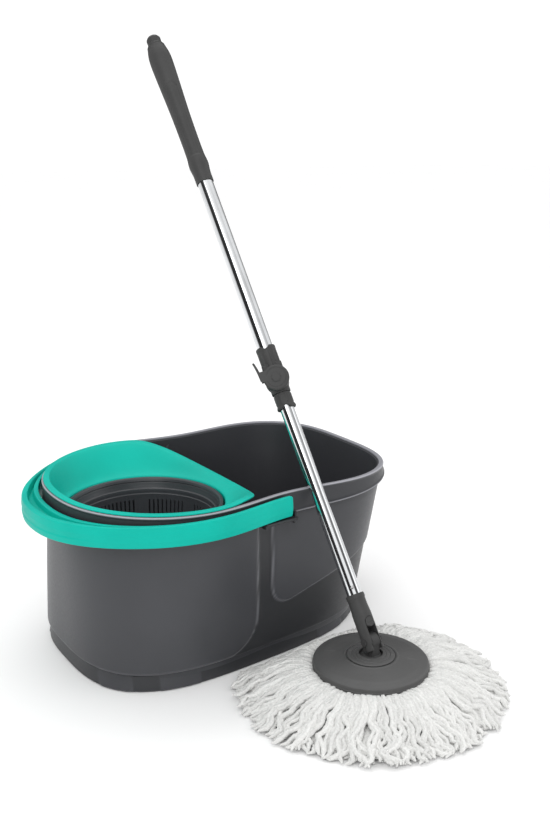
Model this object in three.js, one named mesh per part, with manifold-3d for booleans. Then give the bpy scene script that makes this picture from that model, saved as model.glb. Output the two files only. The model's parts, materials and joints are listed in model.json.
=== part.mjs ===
// A hand-press spin mop set: a two-lobed bucket with a wringing basket, and a telescopic mop
// whose pole rests on the bucket's front rim. Millimetres, +Z up, +X along the bucket away from
// the basket, -Y towards the mop. The origin is on the floor under the middle of the bucket.
import * as THREE from "three";
import { mergeVertices } from "three/addons/utils/BufferGeometryUtils.js";
import Module from "manifold-3d";

const wasm = await Module();
wasm.setup();

// ---- Driving dimensions ----
const gap = 0.3; // between pieces that touch or seat on each other
const runningGap = 0.4; // around a shaft or a sliding tube
const pressGap = 0.15; // around a bush that guides a tube

const rim = {
  halfLength: 242,
  noseLength: 226,
  halfWidth: 183,
  power: 3.3,
  nosePower: 2.2,
  taper: -0.03,
  waistDepth: 0.15,
  waistX: 38,
  waistSpan: 107,
  centreX: 2,
};
const base = {
  halfLength: 218,
  noseLength: 215,
  halfWidth: 150,
  power: 3.25,
  nosePower: 3,
  taper: -0.11,
  waistDepth: 0,
  waistX: 38,
  waistSpan: 107,
  centreX: -5,
};
const bucket = {
  height: 236,
  wall: 2.6,
  floor: 3,
  bandHeight: 30,
  bandFlare: 2.8,
  bandRise: 16,
  rimWidth: 4.6,
  seatDepth: 3.5,
  seatWidth: 2.4,
  ledgeStep: 7,
  plinthHeight: 22,
  plinthStep: 3,
  panelRise: 2.6,
  grooveX: 1,
  grooveWidth: 24,
  sides: 72,
};
const handleRest = { length: 46, depth: 5, height: 4, centreX: 16 };
const opening = { centreX: -95, radius: 109, drop: 35, collar: 13 };
const insert = { thickness: 2.4, lip: 8, fitGap: 1.2, edgeInset: 0.8, edgeX: 40, edgeBow: 64, edgeDrop: 32.5 };
const basket = {
  edgeGap: 2.5,
  lipDrop: 6,
  lipWidth: 5,
  wallTopRadius: 98,
  wallFootRadius: 92,
  wall: 2.4,
  depth: 96,
  shoulderDrop: 14,
  footRound: 9,
  slotGroups: 8,
  slotsPerGroup: 9,
  slotWidth: 2.2,
  slotPitch: 6.4,
  slotMargin: 12,
};
const basketRim = { height: 5, width: 6.5 };
const drivePlate = { thickness: 3, ribHeight: 5, ribWidth: 3, ribs: 6, drainRadius: 5, drains: 12 };
const basketHub = { wall: 10.4, height: 26, slack: 0.6 };
const spindle = { radius: 4, above: 10, seatDepth: 32 };
const spindleBush = { wall: 1.6, flange: 3, flangeHeight: 2 };
const spindleNut = { wall: 3.4, height: 6 };
const hubBore = spindle.radius + basketHub.slack;
const hubRadius = hubBore + basketHub.wall;
const nutRadius = hubBore + spindleNut.wall;
const post = { topRadius: 12, footRadius: 20, ribThickness: 4, ribReach: 38, ribHeight: 46, socketDepth: 36 };
const bail = {
  pivotX: 20,
  pivotDrop: 17,
  sideThickness: 8,
  noseThickness: 27,
  height: 27,
  noseDrop: 8,
  endRadius: 14,
  clearance: 3,
  stations: 44,
};
const pivotPin = { radius: 5, inBand: 7, cover: 2.5 };

const head = { centreX: 76, centreY: -282 };
const fringe = { radius: 171, foot: 8, shoulder: 33, underPlate: 27, wallGap: 4 };
const padRing = { outerRadius: 66, innerRadius: 42, thickness: 3 };
const plate = { radius: 74, skirt: 11, rise: 5, wall: 3, boreRadius: 21, seatRadius: 31 };
const cap = { radius: 30.5, boreRadius: 15, height: 5, grooveDepth: 0.8, grooveWidth: 1.6 };
const hubBase = { radius: 20.3, flangeRadius: 26, flangeHeight: 2.5 };
const knuckle = { thickness: 12, eyeRadius: 10.5, footRadius: 17, pinHeight: 67 };
const hingePin = { radius: 3, headRadius: 5, headThickness: 1.6 };

const heading = THREE.MathUtils.degToRad(3);
const restGap = 0.4; // between the leaning pole and the rim that it rests on
const lowerTube = { radius: 9.5, wall: 0.8, foot: 36, top: 510 };
const upperTube = { slack: 0.7, wall: 0.8, foot: 372, top: 884 };
const upperRadius = lowerTube.radius + upperTube.slack + upperTube.wall;
const fork = { wall: 2.5, top: 61, crotch: 30, slack: 0.6, endRadius: 12, socketFloor: 35 };
const forkRadius = lowerTube.radius + gap + fork.wall;
const forkGap = knuckle.thickness + 2 * fork.slack;
const button = { place: 70, radius: 2.5, flangeRadius: 3.6, flangeThickness: 0.8, proud: 2.2 };
const buttonSpring = { width: 5, thickness: 0.6, length: 24, spread: 10 };
const camTurn = THREE.MathUtils.degToRad(-35); // the lock and the button face away from the bucket
const lock = {
  place: 359,
  sleeveWall: 1.7,
  sleeveTop: 408,
  sleeveFoot: 340,
  barrelRadius: 16,
  barrelFront: 15,
  barrelBack: 13,
  ribs: 5,
  ribDepth: 0.8,
  ribWidth: 2.4,
};
const lever = { discRadius: 16.6, discThickness: 5, bladeLength: 26, bladeWidth: 6.5, bladeThickness: 3.4 };
const lockPin = { radius: 3, headRadius: 6.5, headThickness: 2 };
const sleeveRadius = upperRadius + gap + lock.sleeveWall;
const clampShoe = { thickness: 3, height: 12, width: 8 };
const guideBush = { wall: 1.95, lip: 1, lipHeight: 4, foot: 318 };
const driveNut = { thickness: 5, slotLength: 9, slotWidth: 4.2, setIn: 4 };
const clutch = { height: 9, boreRadius: 5.4 };
const tubeBush = { height: 14, place: 492 };
const rod = { width: 7.2, thickness: 1.8, lead: 120, foot: 300, top: 856, stepsPerTurn: 14 };
const rodAnchor = { foot: 846, top: 872, pocketRadius: 4.4 };
const grip = {
  foot: 662,
  top: 888,
  footWall: 1.1,
  collarPlace: 28,
  collarWall: 2.9,
  waistWall: 1.6,
  palmWall: 4.7,
  palmPlace: 206,
  neckWall: 0.9,
};
const gripCap = { inset: 0.9, height: 17, crown: 5 };
const gripBore = upperRadius + gap;
const gripCapRadius = gripBore - gripCap.inset;

// ---- Joins, cuts and skins ----
function toSolid(geometry) {
  const bare = geometry.clone();
  bare.deleteAttribute("normal");
  bare.deleteAttribute("uv");
  const merged = mergeVertices(bare, 1e-4);
  return new wasm.Manifold(
    new wasm.Mesh({
      numProp: 3,
      vertProperties: new Float32Array(merged.attributes.position.array),
      triVerts: new Uint32Array(merged.index.array),
    }),
  );
}

function toGeometry(solid) {
  const mesh = solid.getMesh();
  const geometry = new THREE.BufferGeometry();
  geometry.setAttribute("position", new THREE.BufferAttribute(new Float32Array(mesh.vertProperties), 3));
  geometry.setIndex(new THREE.BufferAttribute(new Uint32Array(mesh.triVerts), 1));
  return geometry;
}

function cut(geometry, ...tools) {
  return toGeometry(tools.reduce((solid, tool) => solid.subtract(toSolid(tool)), toSolid(geometry)));
}

function join(geometry, ...others) {
  return toGeometry(others.reduce((solid, other) => solid.add(toSolid(other)), toSolid(geometry)));
}

function keepInside(geometry, limit) {
  return toGeometry(toSolid(geometry).intersect(toSolid(limit)));
}

// A closed skin over rings of equally many points, each anticlockwise from above. A looped skin
// joins its last ring to its first; an open one has a flat fan over each end.
function skin(rings, looped = false) {
  const count = rings[0].length;
  const points = rings.flat();
  const faces = [];
  const last = looped ? rings.length : rings.length - 1;
  for (let i = 0; i < last; i++) {
    const low = i * count;
    const high = ((i + 1) % rings.length) * count;
    for (let j = 0; j < count; j++) {
      const next = (j + 1) % count;
      faces.push(low + j, low + next, high + next);
      faces.push(low + j, high + next, high + j);
    }
  }
  if (!looped) {
    const middle = (ring) => ring.reduce((sum, p) => sum.add(p), new THREE.Vector3()).divideScalar(count);
    const foot = points.push(middle(rings[0])) - 1;
    const crown = points.push(middle(rings.at(-1))) - 1;
    const topRing = (rings.length - 1) * count;
    for (let j = 0; j < count; j++) {
      const next = (j + 1) % count;
      faces.push(foot, next, j);
      faces.push(crown, topRing + j, topRing + next);
    }
  }
  const geometry = new THREE.BufferGeometry().setFromPoints(points);
  geometry.setIndex(faces);
  return geometry;
}

// A turned piece about +Z. Its [radius, height] profile runs anticlockwise with radius to the right.
function turned(profile, segments = 20) {
  const points = profile.map(([radius, height]) => new THREE.Vector2(radius, height));
  const geometry = new THREE.LatheGeometry(points, segments);
  geometry.rotateX(Math.PI / 2);
  return geometry;
}

function tube(outer, inner, foot, top, segments = 20) {
  return turned([[outer, foot], [outer, top], [inner, top], [inner, foot], [outer, foot]], segments);
}

function disc(radius, foot, top, segments = 20) {
  return turned([[0, foot], [radius, foot], [radius, top], [0, top]], segments);
}

function block(lengthX, lengthY, lengthZ, x, y, z) {
  return new THREE.BoxGeometry(lengthX, lengthY, lengthZ).translate(x, y, z);
}

// A cylinder along Y between two Y places.
function crossBar(radius, fromY, toY, x, z, segments = 16) {
  const bar = new THREE.CylinderGeometry(radius, radius, Math.abs(toY - fromY), segments);
  return bar.translate(x, (fromY + toY) / 2, z);
}

// ---- The bucket's outline ----
// A superellipse that narrows towards one end and is pinched at a waist; its nose, towards -X, is
// rounder than its other end.
function outlineWidth(shape, x) {
  const along = x / shape.halfLength;
  const pinch = 1 - shape.waistDepth * Math.exp(-(((x - shape.waistX) / shape.waistSpan) ** 2));
  return shape.halfWidth * (1 + shape.taper * along) * pinch;
}

const endOf = (shape, along) =>
  along < 0
    ? { length: shape.noseLength, power: shape.nosePower }
    : { length: shape.halfLength, power: shape.power };

function outlinePoint(shape, angle, z) {
  const end = endOf(shape, Math.cos(angle));
  const power = 2 / end.power;
  const x = end.length * Math.sign(Math.cos(angle)) * Math.abs(Math.cos(angle)) ** power;
  const across = Math.sign(Math.sin(angle)) * Math.abs(Math.sin(angle)) ** power;
  return new THREE.Vector3(shape.centreX + x, across * outlineWidth(shape, x), z);
}

function isInside(shape, x, y) {
  const along = x - shape.centreX;
  const across = Math.abs(y) / outlineWidth(shape, along);
  const end = endOf(shape, along);
  return (Math.abs(along) / end.length) ** end.power + across ** end.power < 1;
}

function offsetShape(shape, offset) {
  return {
    ...shape,
    halfLength: shape.halfLength + offset,
    noseLength: shape.noseLength + offset,
    halfWidth: shape.halfWidth + offset,
  };
}

function blendShape(low, high, share) {
  const blended = {};
  for (const key of Object.keys(low)) {
    blended[key] = low[key] + (high[key] - low[key]) * share;
  }
  return blended;
}

const bandFoot = bucket.height - bucket.bandHeight;
const bodyTop = offsetShape(rim, -bucket.ledgeStep);
const bodyAt = (z) => blendShape(base, bodyTop, z / bandFoot);
const riseAt = (x) => bucket.bandRise * Math.max(0, x / rim.halfLength) ** 2;

function ringOf(shape, height, count = bucket.sides) {
  return Array.from({ length: count }, (_, i) => {
    const point = outlinePoint(shape, (2 * Math.PI * i) / count, 0);
    point.z = typeof height === "function" ? height(point.x) : height;
    return point;
  });
}

// The side panels stand proud of a groove at the waist.
function panelRing(z) {
  return ringOf(bodyAt(z), z).map((point) => {
    const fromGroove = Math.abs(point.x - bucket.grooveX) - bucket.grooveWidth / 2;
    const proud = bucket.panelRise * THREE.MathUtils.smoothstep(fromGroove, 0, 8);
    const outward = new THREE.Vector3(point.x / rim.halfLength, point.y / rim.halfWidth, 0).normalize();
    return point.addScaledVector(outward, proud);
  });
}

function bucketShell() {
  const plinthTop = bucket.plinthHeight;
  const seatZ = bucket.height - bucket.seatDepth;
  const seatInner = bucket.rimWidth + bucket.seatWidth;
  const outer = [
    ringOf(offsetShape(base, -2), 0),
    ringOf(base, 2),
    ringOf(offsetShape(bodyAt(plinthTop), -bucket.plinthStep), plinthTop),
    panelRing(plinthTop + 2),
    panelRing(bandFoot * 0.4),
    panelRing(bandFoot * 0.7),
    panelRing(bandFoot - 6),
    ringOf(bodyTop, (x) => bandFoot + riseAt(x)),
  ];
  const band = [
    ringOf(offsetShape(rim, bucket.bandFlare), (x) => bandFoot + riseAt(x)),
    ringOf(rim, bucket.height - 1.5),
    ringOf(offsetShape(rim, -1.5), bucket.height),
    ringOf(offsetShape(rim, -bucket.rimWidth), bucket.height),
    ringOf(offsetShape(rim, -bucket.rimWidth), seatZ),
    ringOf(offsetShape(rim, -seatInner), seatZ),
  ];
  const inner = [bandFoot - 4, bandFoot * 0.5, bucket.floor + 10].map((z) =>
    ringOf(offsetShape(bodyAt(z), -bucket.wall), z),
  );
  const floorRing = ringOf(offsetShape(bodyAt(bucket.floor), -bucket.wall - 8), bucket.floor);
  const shell = skin([...outer, ...band, ...inner, floorRing]);
  const holes = [-1, 1].map((side) => pivotHole(side));
  return cut(join(shell, ...spindlePost(), ...handleRests()), spindleSocket(), ...holes);
}

// ---- The spindle's post, moulded on the bucket's floor ----
const openingZ = bucket.height - opening.drop;
const basketFloorZ = openingZ - basket.depth;
const postTop = basketFloorZ - 6;

function spindlePost() {
  const column = turned([
    [0, bucket.floor - 1],
    [post.footRadius, bucket.floor - 1],
    [post.topRadius, bucket.floor + 14],
    [post.topRadius, postTop],
    [0, postTop],
  ]).translate(opening.centreX, 0, 0);
  const ribZ = bucket.floor + post.ribHeight / 2 - 0.5;
  const reach = 2 * post.ribReach;
  const thick = post.ribThickness;
  return [
    column,
    block(reach, thick, post.ribHeight + 1, opening.centreX, 0, ribZ),
    block(thick, reach, post.ribHeight + 1, opening.centreX, 0, ribZ),
  ];
}

const bushRadius = spindle.radius + gap + spindleBush.wall;

function spindleSocket() {
  const socket = disc(bushRadius + gap, postTop - post.socketDepth, postTop + 1);
  return socket.translate(opening.centreX, 0, 0);
}

function spindlePin() {
  const foot = postTop - spindle.seatDepth;
  const top = basketFloorZ + basketHub.height + spindle.above;
  const pin = turned([
    [0, foot],
    [spindle.radius, foot],
    [spindle.radius, top - 1.5],
    [spindle.radius - 1.5, top],
    [0, top],
  ], 24);
  return pin.translate(opening.centreX, 0, 0);
}

function spindleBushSolid() {
  const bore = spindle.radius + gap;
  const foot = postTop - spindle.seatDepth;
  const flangeRadius = bushRadius + spindleBush.flange;
  const flangeFoot = postTop + gap;
  const top = flangeFoot + spindleBush.flangeHeight;
  const bush = turned([
    [bushRadius, foot],
    [bushRadius, flangeFoot],
    [flangeRadius, flangeFoot],
    [flangeRadius, top],
    [bore, top],
    [bore, foot],
    [bushRadius, foot],
  ], 24);
  return bush.translate(opening.centreX, 0, 0);
}

// ---- The lift-out splash insert ----
// The insert ends in a bowed edge that hangs lower in the middle than at the rim.
const insertEdgeX = (y) => insert.edgeX - insert.edgeBow * (y / (0.9 * rim.halfWidth)) ** 2;
const insertLimit = offsetShape(rim, -insert.edgeInset);

function insertReach(angle) {
  const stepX = Math.cos(angle);
  const stepY = Math.sin(angle);
  let near = opening.radius;
  let far = 2 * rim.halfLength;
  for (let i = 0; i < 40; i++) {
    const reach = (near + far) / 2;
    const x = opening.centreX + reach * stepX;
    const y = reach * stepY;
    if (isInside(insertLimit, x, y) && x < insertEdgeX(y)) near = reach;
    else far = reach;
  }
  return near;
}

function insertTop(x, y) {
  const seated = bucket.height + gap + insert.thickness;
  const toEdge = THREE.MathUtils.smoothstep(x, insertEdgeX(y) - 30, insertEdgeX(y));
  const betweenSeats = rimSideAt(x) - bucket.rimWidth - bucket.seatWidth - insert.fitGap;
  const middle = Math.max(0, 1 - (y / betweenSeats) ** 2);
  return seated - insert.edgeDrop * toEdge * middle;
}

function splashInsert() {
  const count = 80;
  const collarFoot = openingZ - opening.collar;
  const profiles = Array.from({ length: count }, (_, i) => {
    const angle = (2 * Math.PI * i) / count;
    const reach = insertReach(angle);
    const lipStart = Math.max(reach - insert.lip, opening.radius + insert.thickness + 4);
    const zAt = (radius) =>
      insertTop(opening.centreX + radius * Math.cos(angle), radius * Math.sin(angle));
    const edgeZ = zAt(reach);
    const thick = insert.thickness;
    const section = [
      [opening.radius + thick, collarFoot],
      [opening.radius + thick, openingZ - thick],
      [lipStart, edgeZ - thick],
      [reach, edgeZ - thick],
      [reach, edgeZ],
      [lipStart - 1, edgeZ],
      [opening.radius + 1.6, openingZ + 0.6],
      [opening.radius, openingZ - 1],
      [opening.radius, collarFoot],
    ];
    return section.map(
      ([radius, z]) =>
        new THREE.Vector3(opening.centreX + radius * Math.cos(angle), radius * Math.sin(angle), z),
    );
  });
  const rings = profiles[0].map((_, level) => profiles.map((profile) => profile[level]));
  return skin(rings, true);
}

// ---- The wringing basket ----
const lipRadius = opening.radius - basket.edgeGap;

function basketProfile() {
  const lipTop = openingZ;
  const shoulderZ = lipTop - basket.shoulderDrop;
  const footZ = basketFloorZ;
  const round = basket.footRound;
  const wall = basket.wall;
  return [
    [basket.wallFootRadius - round, footZ],
    [basket.wallFootRadius, footZ + round],
    [basket.wallTopRadius, shoulderZ - 2],
    [lipRadius - basket.lipWidth, lipTop - basket.lipDrop - wall],
    [lipRadius, lipTop - basket.lipDrop - wall],
    [lipRadius, lipTop - basket.lipDrop],
    [lipRadius - basket.lipWidth - 1, lipTop - basket.lipDrop],
    [basket.wallTopRadius - wall, shoulderZ],
    [basket.wallFootRadius - wall, footZ + round + 1],
    [basket.wallFootRadius - round - wall, footZ + wall + gap],
    [basket.wallFootRadius - round - 12, footZ + wall + gap],
    [basket.wallFootRadius - round - 12, footZ],
    [basket.wallFootRadius - round, footZ],
  ];
}

function basketBowl() {
  const slots = [];
  const top = openingZ - basket.shoulderDrop - basket.slotMargin;
  const foot = basketFloorZ + basket.footRound + basket.slotMargin;
  for (let group = 0; group < basket.slotGroups; group++) {
    const middle = (2 * Math.PI * group) / basket.slotGroups;
    for (let i = 0; i < basket.slotsPerGroup; i++) {
      const along = (i - (basket.slotsPerGroup - 1) / 2) * basket.slotPitch;
      const angle = middle + along / basket.wallTopRadius;
      const slot = block(14, basket.slotWidth, top - foot, basket.wallFootRadius + 2, 0, (top + foot) / 2);
      slots.push(slot.rotateZ(angle));
    }
  }
  const bowl = cut(turned(basketProfile(), 36), ...slots);
  return bowl.translate(opening.centreX, 0, 0);
}

function basketRimRing() {
  const foot = openingZ - basket.lipDrop + gap;
  const top = foot + basketRim.height;
  const inner = lipRadius - basketRim.width;
  const ring = turned([
    [lipRadius, foot],
    [lipRadius, top - 1.5],
    [lipRadius - 1.5, top],
    [inner + 1.5, top],
    [inner, top - 2],
    [inner, foot],
    [lipRadius, foot],
  ], 44);
  return ring.translate(opening.centreX, 0, 0);
}

const platformRadius = basket.wallFootRadius - basket.footRound - 12 - runningGap;

function basketFloor() {
  const top = basketFloorZ + drivePlate.thickness;
  const floor = tube(platformRadius, hubRadius + gap, basketFloorZ, top, 36);
  const ribs = [];
  const drains = [];
  const ribLength = platformRadius - hubRadius - 10;
  const ribMiddle = hubRadius + 5 + ribLength / 2;
  for (let i = 0; i < drivePlate.ribs; i++) {
    const rib = block(ribLength, drivePlate.ribWidth, drivePlate.ribHeight, ribMiddle, 0, top + 1);
    ribs.push(rib.rotateZ((2 * Math.PI * i) / drivePlate.ribs));
  }
  for (let i = 0; i < drivePlate.drains; i++) {
    const drain = disc(drivePlate.drainRadius, basketFloorZ - 1, top + 1, 12);
    const angle = (2 * Math.PI * (i + 0.5)) / drivePlate.drains;
    const reach = platformRadius - 3 * drivePlate.drainRadius;
    drains.push(drain.translate(reach * Math.cos(angle), reach * Math.sin(angle), 0));
  }
  return cut(join(floor, ...ribs), ...drains).translate(opening.centreX, 0, 0);
}

function basketHubSolid() {
  const foot = basketFloorZ - 2;
  const flangeTop = basketFloorZ - gap;
  const top = basketFloorZ + basketHub.height;
  const hub = turned([
    [hubRadius + 6, foot],
    [hubRadius + 6, flangeTop],
    [hubRadius, flangeTop],
    [hubRadius - 3, top],
    [hubBore, top],
    [hubBore, foot],
    [hubRadius + 6, foot],
  ], 24);
  return hub.translate(opening.centreX, 0, 0);
}

function spindleNutSolid() {
  const foot = basketFloorZ + basketHub.height + gap;
  const top = foot + spindleNut.height;
  const nut = turned([
    [nutRadius, foot],
    [nutRadius, top - 2],
    [nutRadius - 2, top],
    [hubBore, top],
    [hubBore, foot],
    [nutRadius, foot],
  ], 24);
  return nut.translate(opening.centreX, 0, 0);
}

// ---- The bail handle and its pivots ----
const pivotZ = bucket.height - bail.pivotDrop;
const bailOffset = bucket.bandFlare + bail.clearance;
const rimSideAt = (x) => outlineWidth(rim, x - rim.centreX);

// The bail follows the rim from one pivot round the basket's end to the other, and is widest at
// the nose, where the hand goes.
function bailStation(share) {
  const inner = offsetShape(rim, bailOffset);
  const pivotCos = ((bail.pivotX - rim.centreX) / inner.halfLength) ** (rim.power / 2);
  const start = Math.acos(pivotCos);
  const angle = start + share * 2 * (Math.PI - start);
  const nose = Math.sin(Math.PI * share) ** 8;
  const thickness = bail.sideThickness + (bail.noseThickness - bail.sideThickness) * nose;
  const near = outlinePoint(inner, angle, 0);
  const far = outlinePoint(offsetShape(inner, thickness), angle, 0);
  const drop = bail.noseDrop * Math.sin(Math.PI * share) ** 2;
  const foot = pivotZ - bail.height / 2 - drop;
  const top = pivotZ + bail.height / 2 - drop;
  const round = 2.5;
  const at = (depth, z) => near.clone().lerp(far, depth / thickness).setZ(z);
  return [
    at(0, foot + round),
    at(round, foot),
    at(thickness - round, foot),
    at(thickness, foot + round),
    at(thickness, top - round),
    at(thickness - round, top),
    at(round, top),
    at(0, top - round),
  ];
}

function bailHandle() {
  const stations = Array.from({ length: bail.stations + 1 }, (_, i) => bailStation(i / bail.stations));
  const sweep = skin(stations.map((ring) => ring.toReversed()));
  const side = rimSideAt(bail.pivotX) + bailOffset;
  const bosses = [-1, 1].map((way) =>
    crossBar(bail.endRadius, way * side, way * (side + bail.sideThickness), bail.pivotX, pivotZ, 24),
  );
  const pinRoom = side + bail.sideThickness - pivotPin.cover;
  const holes = [-1, 1].map((way) =>
    crossBar(pivotPin.radius + runningGap, way * (side - 9), way * pinRoom, bail.pivotX, pivotZ),
  );
  return cut(join(sweep, ...bosses), ...holes);
}

function pivotHole(side) {
  const outside = side * (rimSideAt(bail.pivotX) + 10);
  const inside = side * (rimSideAt(bail.pivotX) - pivotPin.inBand);
  return crossBar(pivotPin.radius + gap, inside, outside, bail.pivotX, pivotZ);
}

function pivotPinSolid(side) {
  const rimSide = rimSideAt(bail.pivotX);
  const pinEnd = rimSide + bailOffset + bail.sideThickness - pivotPin.cover - gap;
  const pinStart = rimSide - pivotPin.inBand + gap;
  return crossBar(pivotPin.radius, side * pinStart, side * pinEnd, bail.pivotX, pivotZ);
}

// A small shelf on each side carries the bail's ends when it is folded down.
function handleRests() {
  const z = pivotZ - bail.endRadius - gap - handleRest.height / 2 - 0.5;
  return [-1, 1].map((side) => {
    const y = side * (rimSideAt(handleRest.centreX) + handleRest.depth / 2);
    return block(handleRest.length, handleRest.depth + 6, handleRest.height, handleRest.centreX, y, z);
  });
}

// ---- The mop head, in a frame whose origin is on the floor under the hinge ----
const plateFoot = fringe.underPlate + gap + padRing.thickness + gap;
const plateRim = plateFoot + plate.skirt;
const plateCrown = plateRim + plate.rise;
const fringeBackLimit = -(rim.halfWidth * 0.87) - bucket.bandFlare - fringe.wallGap - head.centreY;

function fringePad() {
  const profile = [
    [fringe.radius - 7, 0],
    [fringe.radius, fringe.foot],
    [fringe.radius - 6, fringe.foot + 9],
    [fringe.radius - 34, fringe.shoulder - 7],
    [plate.radius + 22, fringe.shoulder],
    [plate.radius + 3, fringe.shoulder - 1],
    [plate.radius + 1, fringe.underPlate],
  ];
  const count = 48;
  const rings = profile.map(([radius, z]) =>
    Array.from({ length: count }, (_, i) => {
      const angle = (2 * Math.PI * i) / count;
      const backShare = Math.max(Math.sin(angle), 1e-6);
      const squeeze = Math.min(1, fringeBackLimit / (fringe.radius * backShare));
      const reach = plate.radius + 1 + (radius - plate.radius - 1) * tightShare(squeeze);
      return new THREE.Vector3(reach * Math.cos(angle), reach * Math.sin(angle), z);
    }),
  );
  return skin(rings);
}

// How much of the fringe's overhang is left where the bucket squeezes its outer radius.
function tightShare(squeeze) {
  const free = fringe.radius - plate.radius - 1;
  return (fringe.radius * squeeze - plate.radius - 1) / free;
}

function padRingSolid() {
  const foot = fringe.underPlate + gap;
  return tube(padRing.outerRadius, padRing.innerRadius, foot, foot + padRing.thickness, 36);
}

function mopPlate() {
  const wall = plate.wall;
  return turned([
    [plate.radius, plateFoot],
    [plate.radius, plateRim - 2],
    [plate.radius - 2, plateRim],
    [plate.radius * 0.7, plateRim + plate.rise * 0.7],
    [plate.seatRadius, plateCrown],
    [plate.boreRadius, plateCrown],
    [plate.boreRadius, plateCrown - wall],
    [plate.seatRadius, plateCrown - wall],
    [plate.radius * 0.7, plateRim + plate.rise * 0.7 - wall],
    [plate.radius - wall, plateRim - wall],
    [plate.radius - wall, plateFoot],
    [plate.radius, plateFoot],
  ], 44);
}

function centreCap() {
  const foot = plateCrown + gap;
  const top = foot + cap.height;
  const ring = turned([
    [cap.radius, foot],
    [cap.radius, top - 2],
    [cap.radius - 2, top],
    [cap.boreRadius, top],
    [cap.boreRadius, foot],
    [cap.radius, foot],
  ], 36);
  const groove = (radius) =>
    tube(radius + cap.grooveWidth / 2, radius - cap.grooveWidth / 2, top - cap.grooveDepth, top + 1, 36);
  return cut(ring, groove(cap.radius - 6), groove(cap.radius - 11));
}

// The hub hangs in the plate's bore: a flange above, a core that reaches down to the pad's ring.
function hubBaseSolid() {
  const flangeTop = plateCrown - plate.wall - gap;
  return turned([
    [0, plateFoot],
    [hubBase.flangeRadius, plateFoot],
    [hubBase.flangeRadius, plateFoot + hubBase.flangeHeight],
    [hubBase.radius - 2, flangeTop - 3],
    [hubBase.radius - 2, flangeTop],
    [0, flangeTop],
  ], 24);
}

function knuckleSolid() {
  const foot = plateCrown - plate.wall;
  const footTop = plateCrown;
  const round = crossBar(knuckle.eyeRadius, -knuckle.thickness / 2, knuckle.thickness / 2, 0, 0, 24);
  const eye = round.rotateZ(Math.PI / 2).translate(0, 0, knuckle.pinHeight);
  const neckHeight = knuckle.pinHeight - footTop + 1;
  const neckZ = footTop - 1 + neckHeight / 2;
  const neck = block(knuckle.thickness, 2 * knuckle.eyeRadius, neckHeight, 0, 0, neckZ);
  const flange = disc(knuckle.footRadius, foot, footTop);
  const bore = crossBar(hingePin.radius + gap, -20, 20, 0, 0).rotateZ(Math.PI / 2);
  return cut(join(eye, neck, flange), bore.translate(0, 0, knuckle.pinHeight));
}

// ---- The pole, in a frame whose origin is the hinge pin, +Z up the pole and +X along the pin ----
function hingePinSolid() {
  const reach = forkRadius + gap;
  const pin = crossBar(hingePin.radius, -reach - 1, reach + 1, 0, 0);
  const heads = [-1, 1].map((side) =>
    crossBar(hingePin.headRadius, side * reach, side * (reach + hingePin.headThickness), 0, 0),
  );
  return join(pin, ...heads).rotateZ(Math.PI / 2);
}

function forkSocket() {
  const body = disc(forkRadius, -fork.endRadius, fork.top - 1.5);
  const collar = turned([
    [0, fork.top - 5],
    [forkRadius, fork.top - 5],
    [forkRadius, fork.top - 2],
    [forkRadius - 1.5, fork.top],
    [0, fork.top],
  ]);
  const roundEnd = crossBar(fork.endRadius, -20, 20, 0, 0, 24).rotateZ(Math.PI / 2);
  const above = block(60, 60, fork.top + 1, 0, 0, (fork.top + 1) / 2);
  const shaped = keepInside(join(body, collar), join(roundEnd, above));
  const slotHeight = fork.crotch - forkGap / 2 + 20;
  const slot = block(forkGap, 60, slotHeight, 0, 0, slotHeight / 2 - 20);
  const slotEnd = crossBar(forkGap / 2, -20, 20, 0, fork.crotch - forkGap / 2, 24);
  const bore = disc(lowerTube.radius + gap, fork.socketFloor, fork.top + 1);
  const pinBore = crossBar(hingePin.radius + runningGap, -20, 20, 0, 0).rotateZ(Math.PI / 2);
  return cut(shaped, slot, slotEnd, bore, pinBore);
}

function lowerTubeSolid() {
  const pipe = tube(lowerTube.radius, lowerTube.radius - lowerTube.wall, lowerTube.foot, lowerTube.top);
  const hole = crossBar(button.radius + gap, -20, 0, 0, button.place, 12).rotateZ(camTurn);
  return cut(pipe, hole);
}

function snapButton() {
  const inner = lowerTube.radius - lowerTube.wall;
  const flangeOuter = -(inner - 1);
  const flangeInner = flangeOuter + button.flangeThickness;
  const tip = -(lowerTube.radius + button.proud);
  const stem = crossBar(button.radius, tip, flangeInner - 0.2, 0, button.place, 12);
  const flange = crossBar(button.flangeRadius, flangeOuter, flangeInner, 0, button.place, 12);
  return join(stem, flange).rotateZ(camTurn);
}

// A folded leaf behind the button: two legs that meet at the bottom.
function buttonSpringSolid() {
  const half = buttonSpring.spread / 2;
  const low = -buttonSpring.length;
  const thick = buttonSpring.thickness;
  const leaf = new THREE.Shape();
  leaf.moveTo(-half + 1.6, 3);
  leaf.lineTo(-1, low);
  leaf.lineTo(1, low);
  leaf.lineTo(half + 1.6, 3);
  leaf.lineTo(half + 1.6 - thick, 3);
  leaf.lineTo(1 - thick, low + thick);
  leaf.lineTo(-1 + thick, low + thick);
  leaf.lineTo(-half + 1.6 + thick, 3);
  leaf.closePath();
  const strip = new THREE.ExtrudeGeometry(leaf, { depth: buttonSpring.width, bevelEnabled: false });
  strip.translate(0, 0, -buttonSpring.width / 2);
  strip.rotateX(Math.PI / 2);
  strip.rotateZ(Math.PI / 2);
  return strip.translate(0, 0, button.place).rotateZ(camTurn);
}

function upperTubeSolid() {
  return tube(upperRadius, upperRadius - upperTube.wall, upperTube.foot, upperTube.top);
}

// The rod is a flat strip twisted once per lead; the nut's slot follows it at the nut's height.
const twistAt = (z) => (2 * Math.PI * z) / rod.lead;

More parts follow.
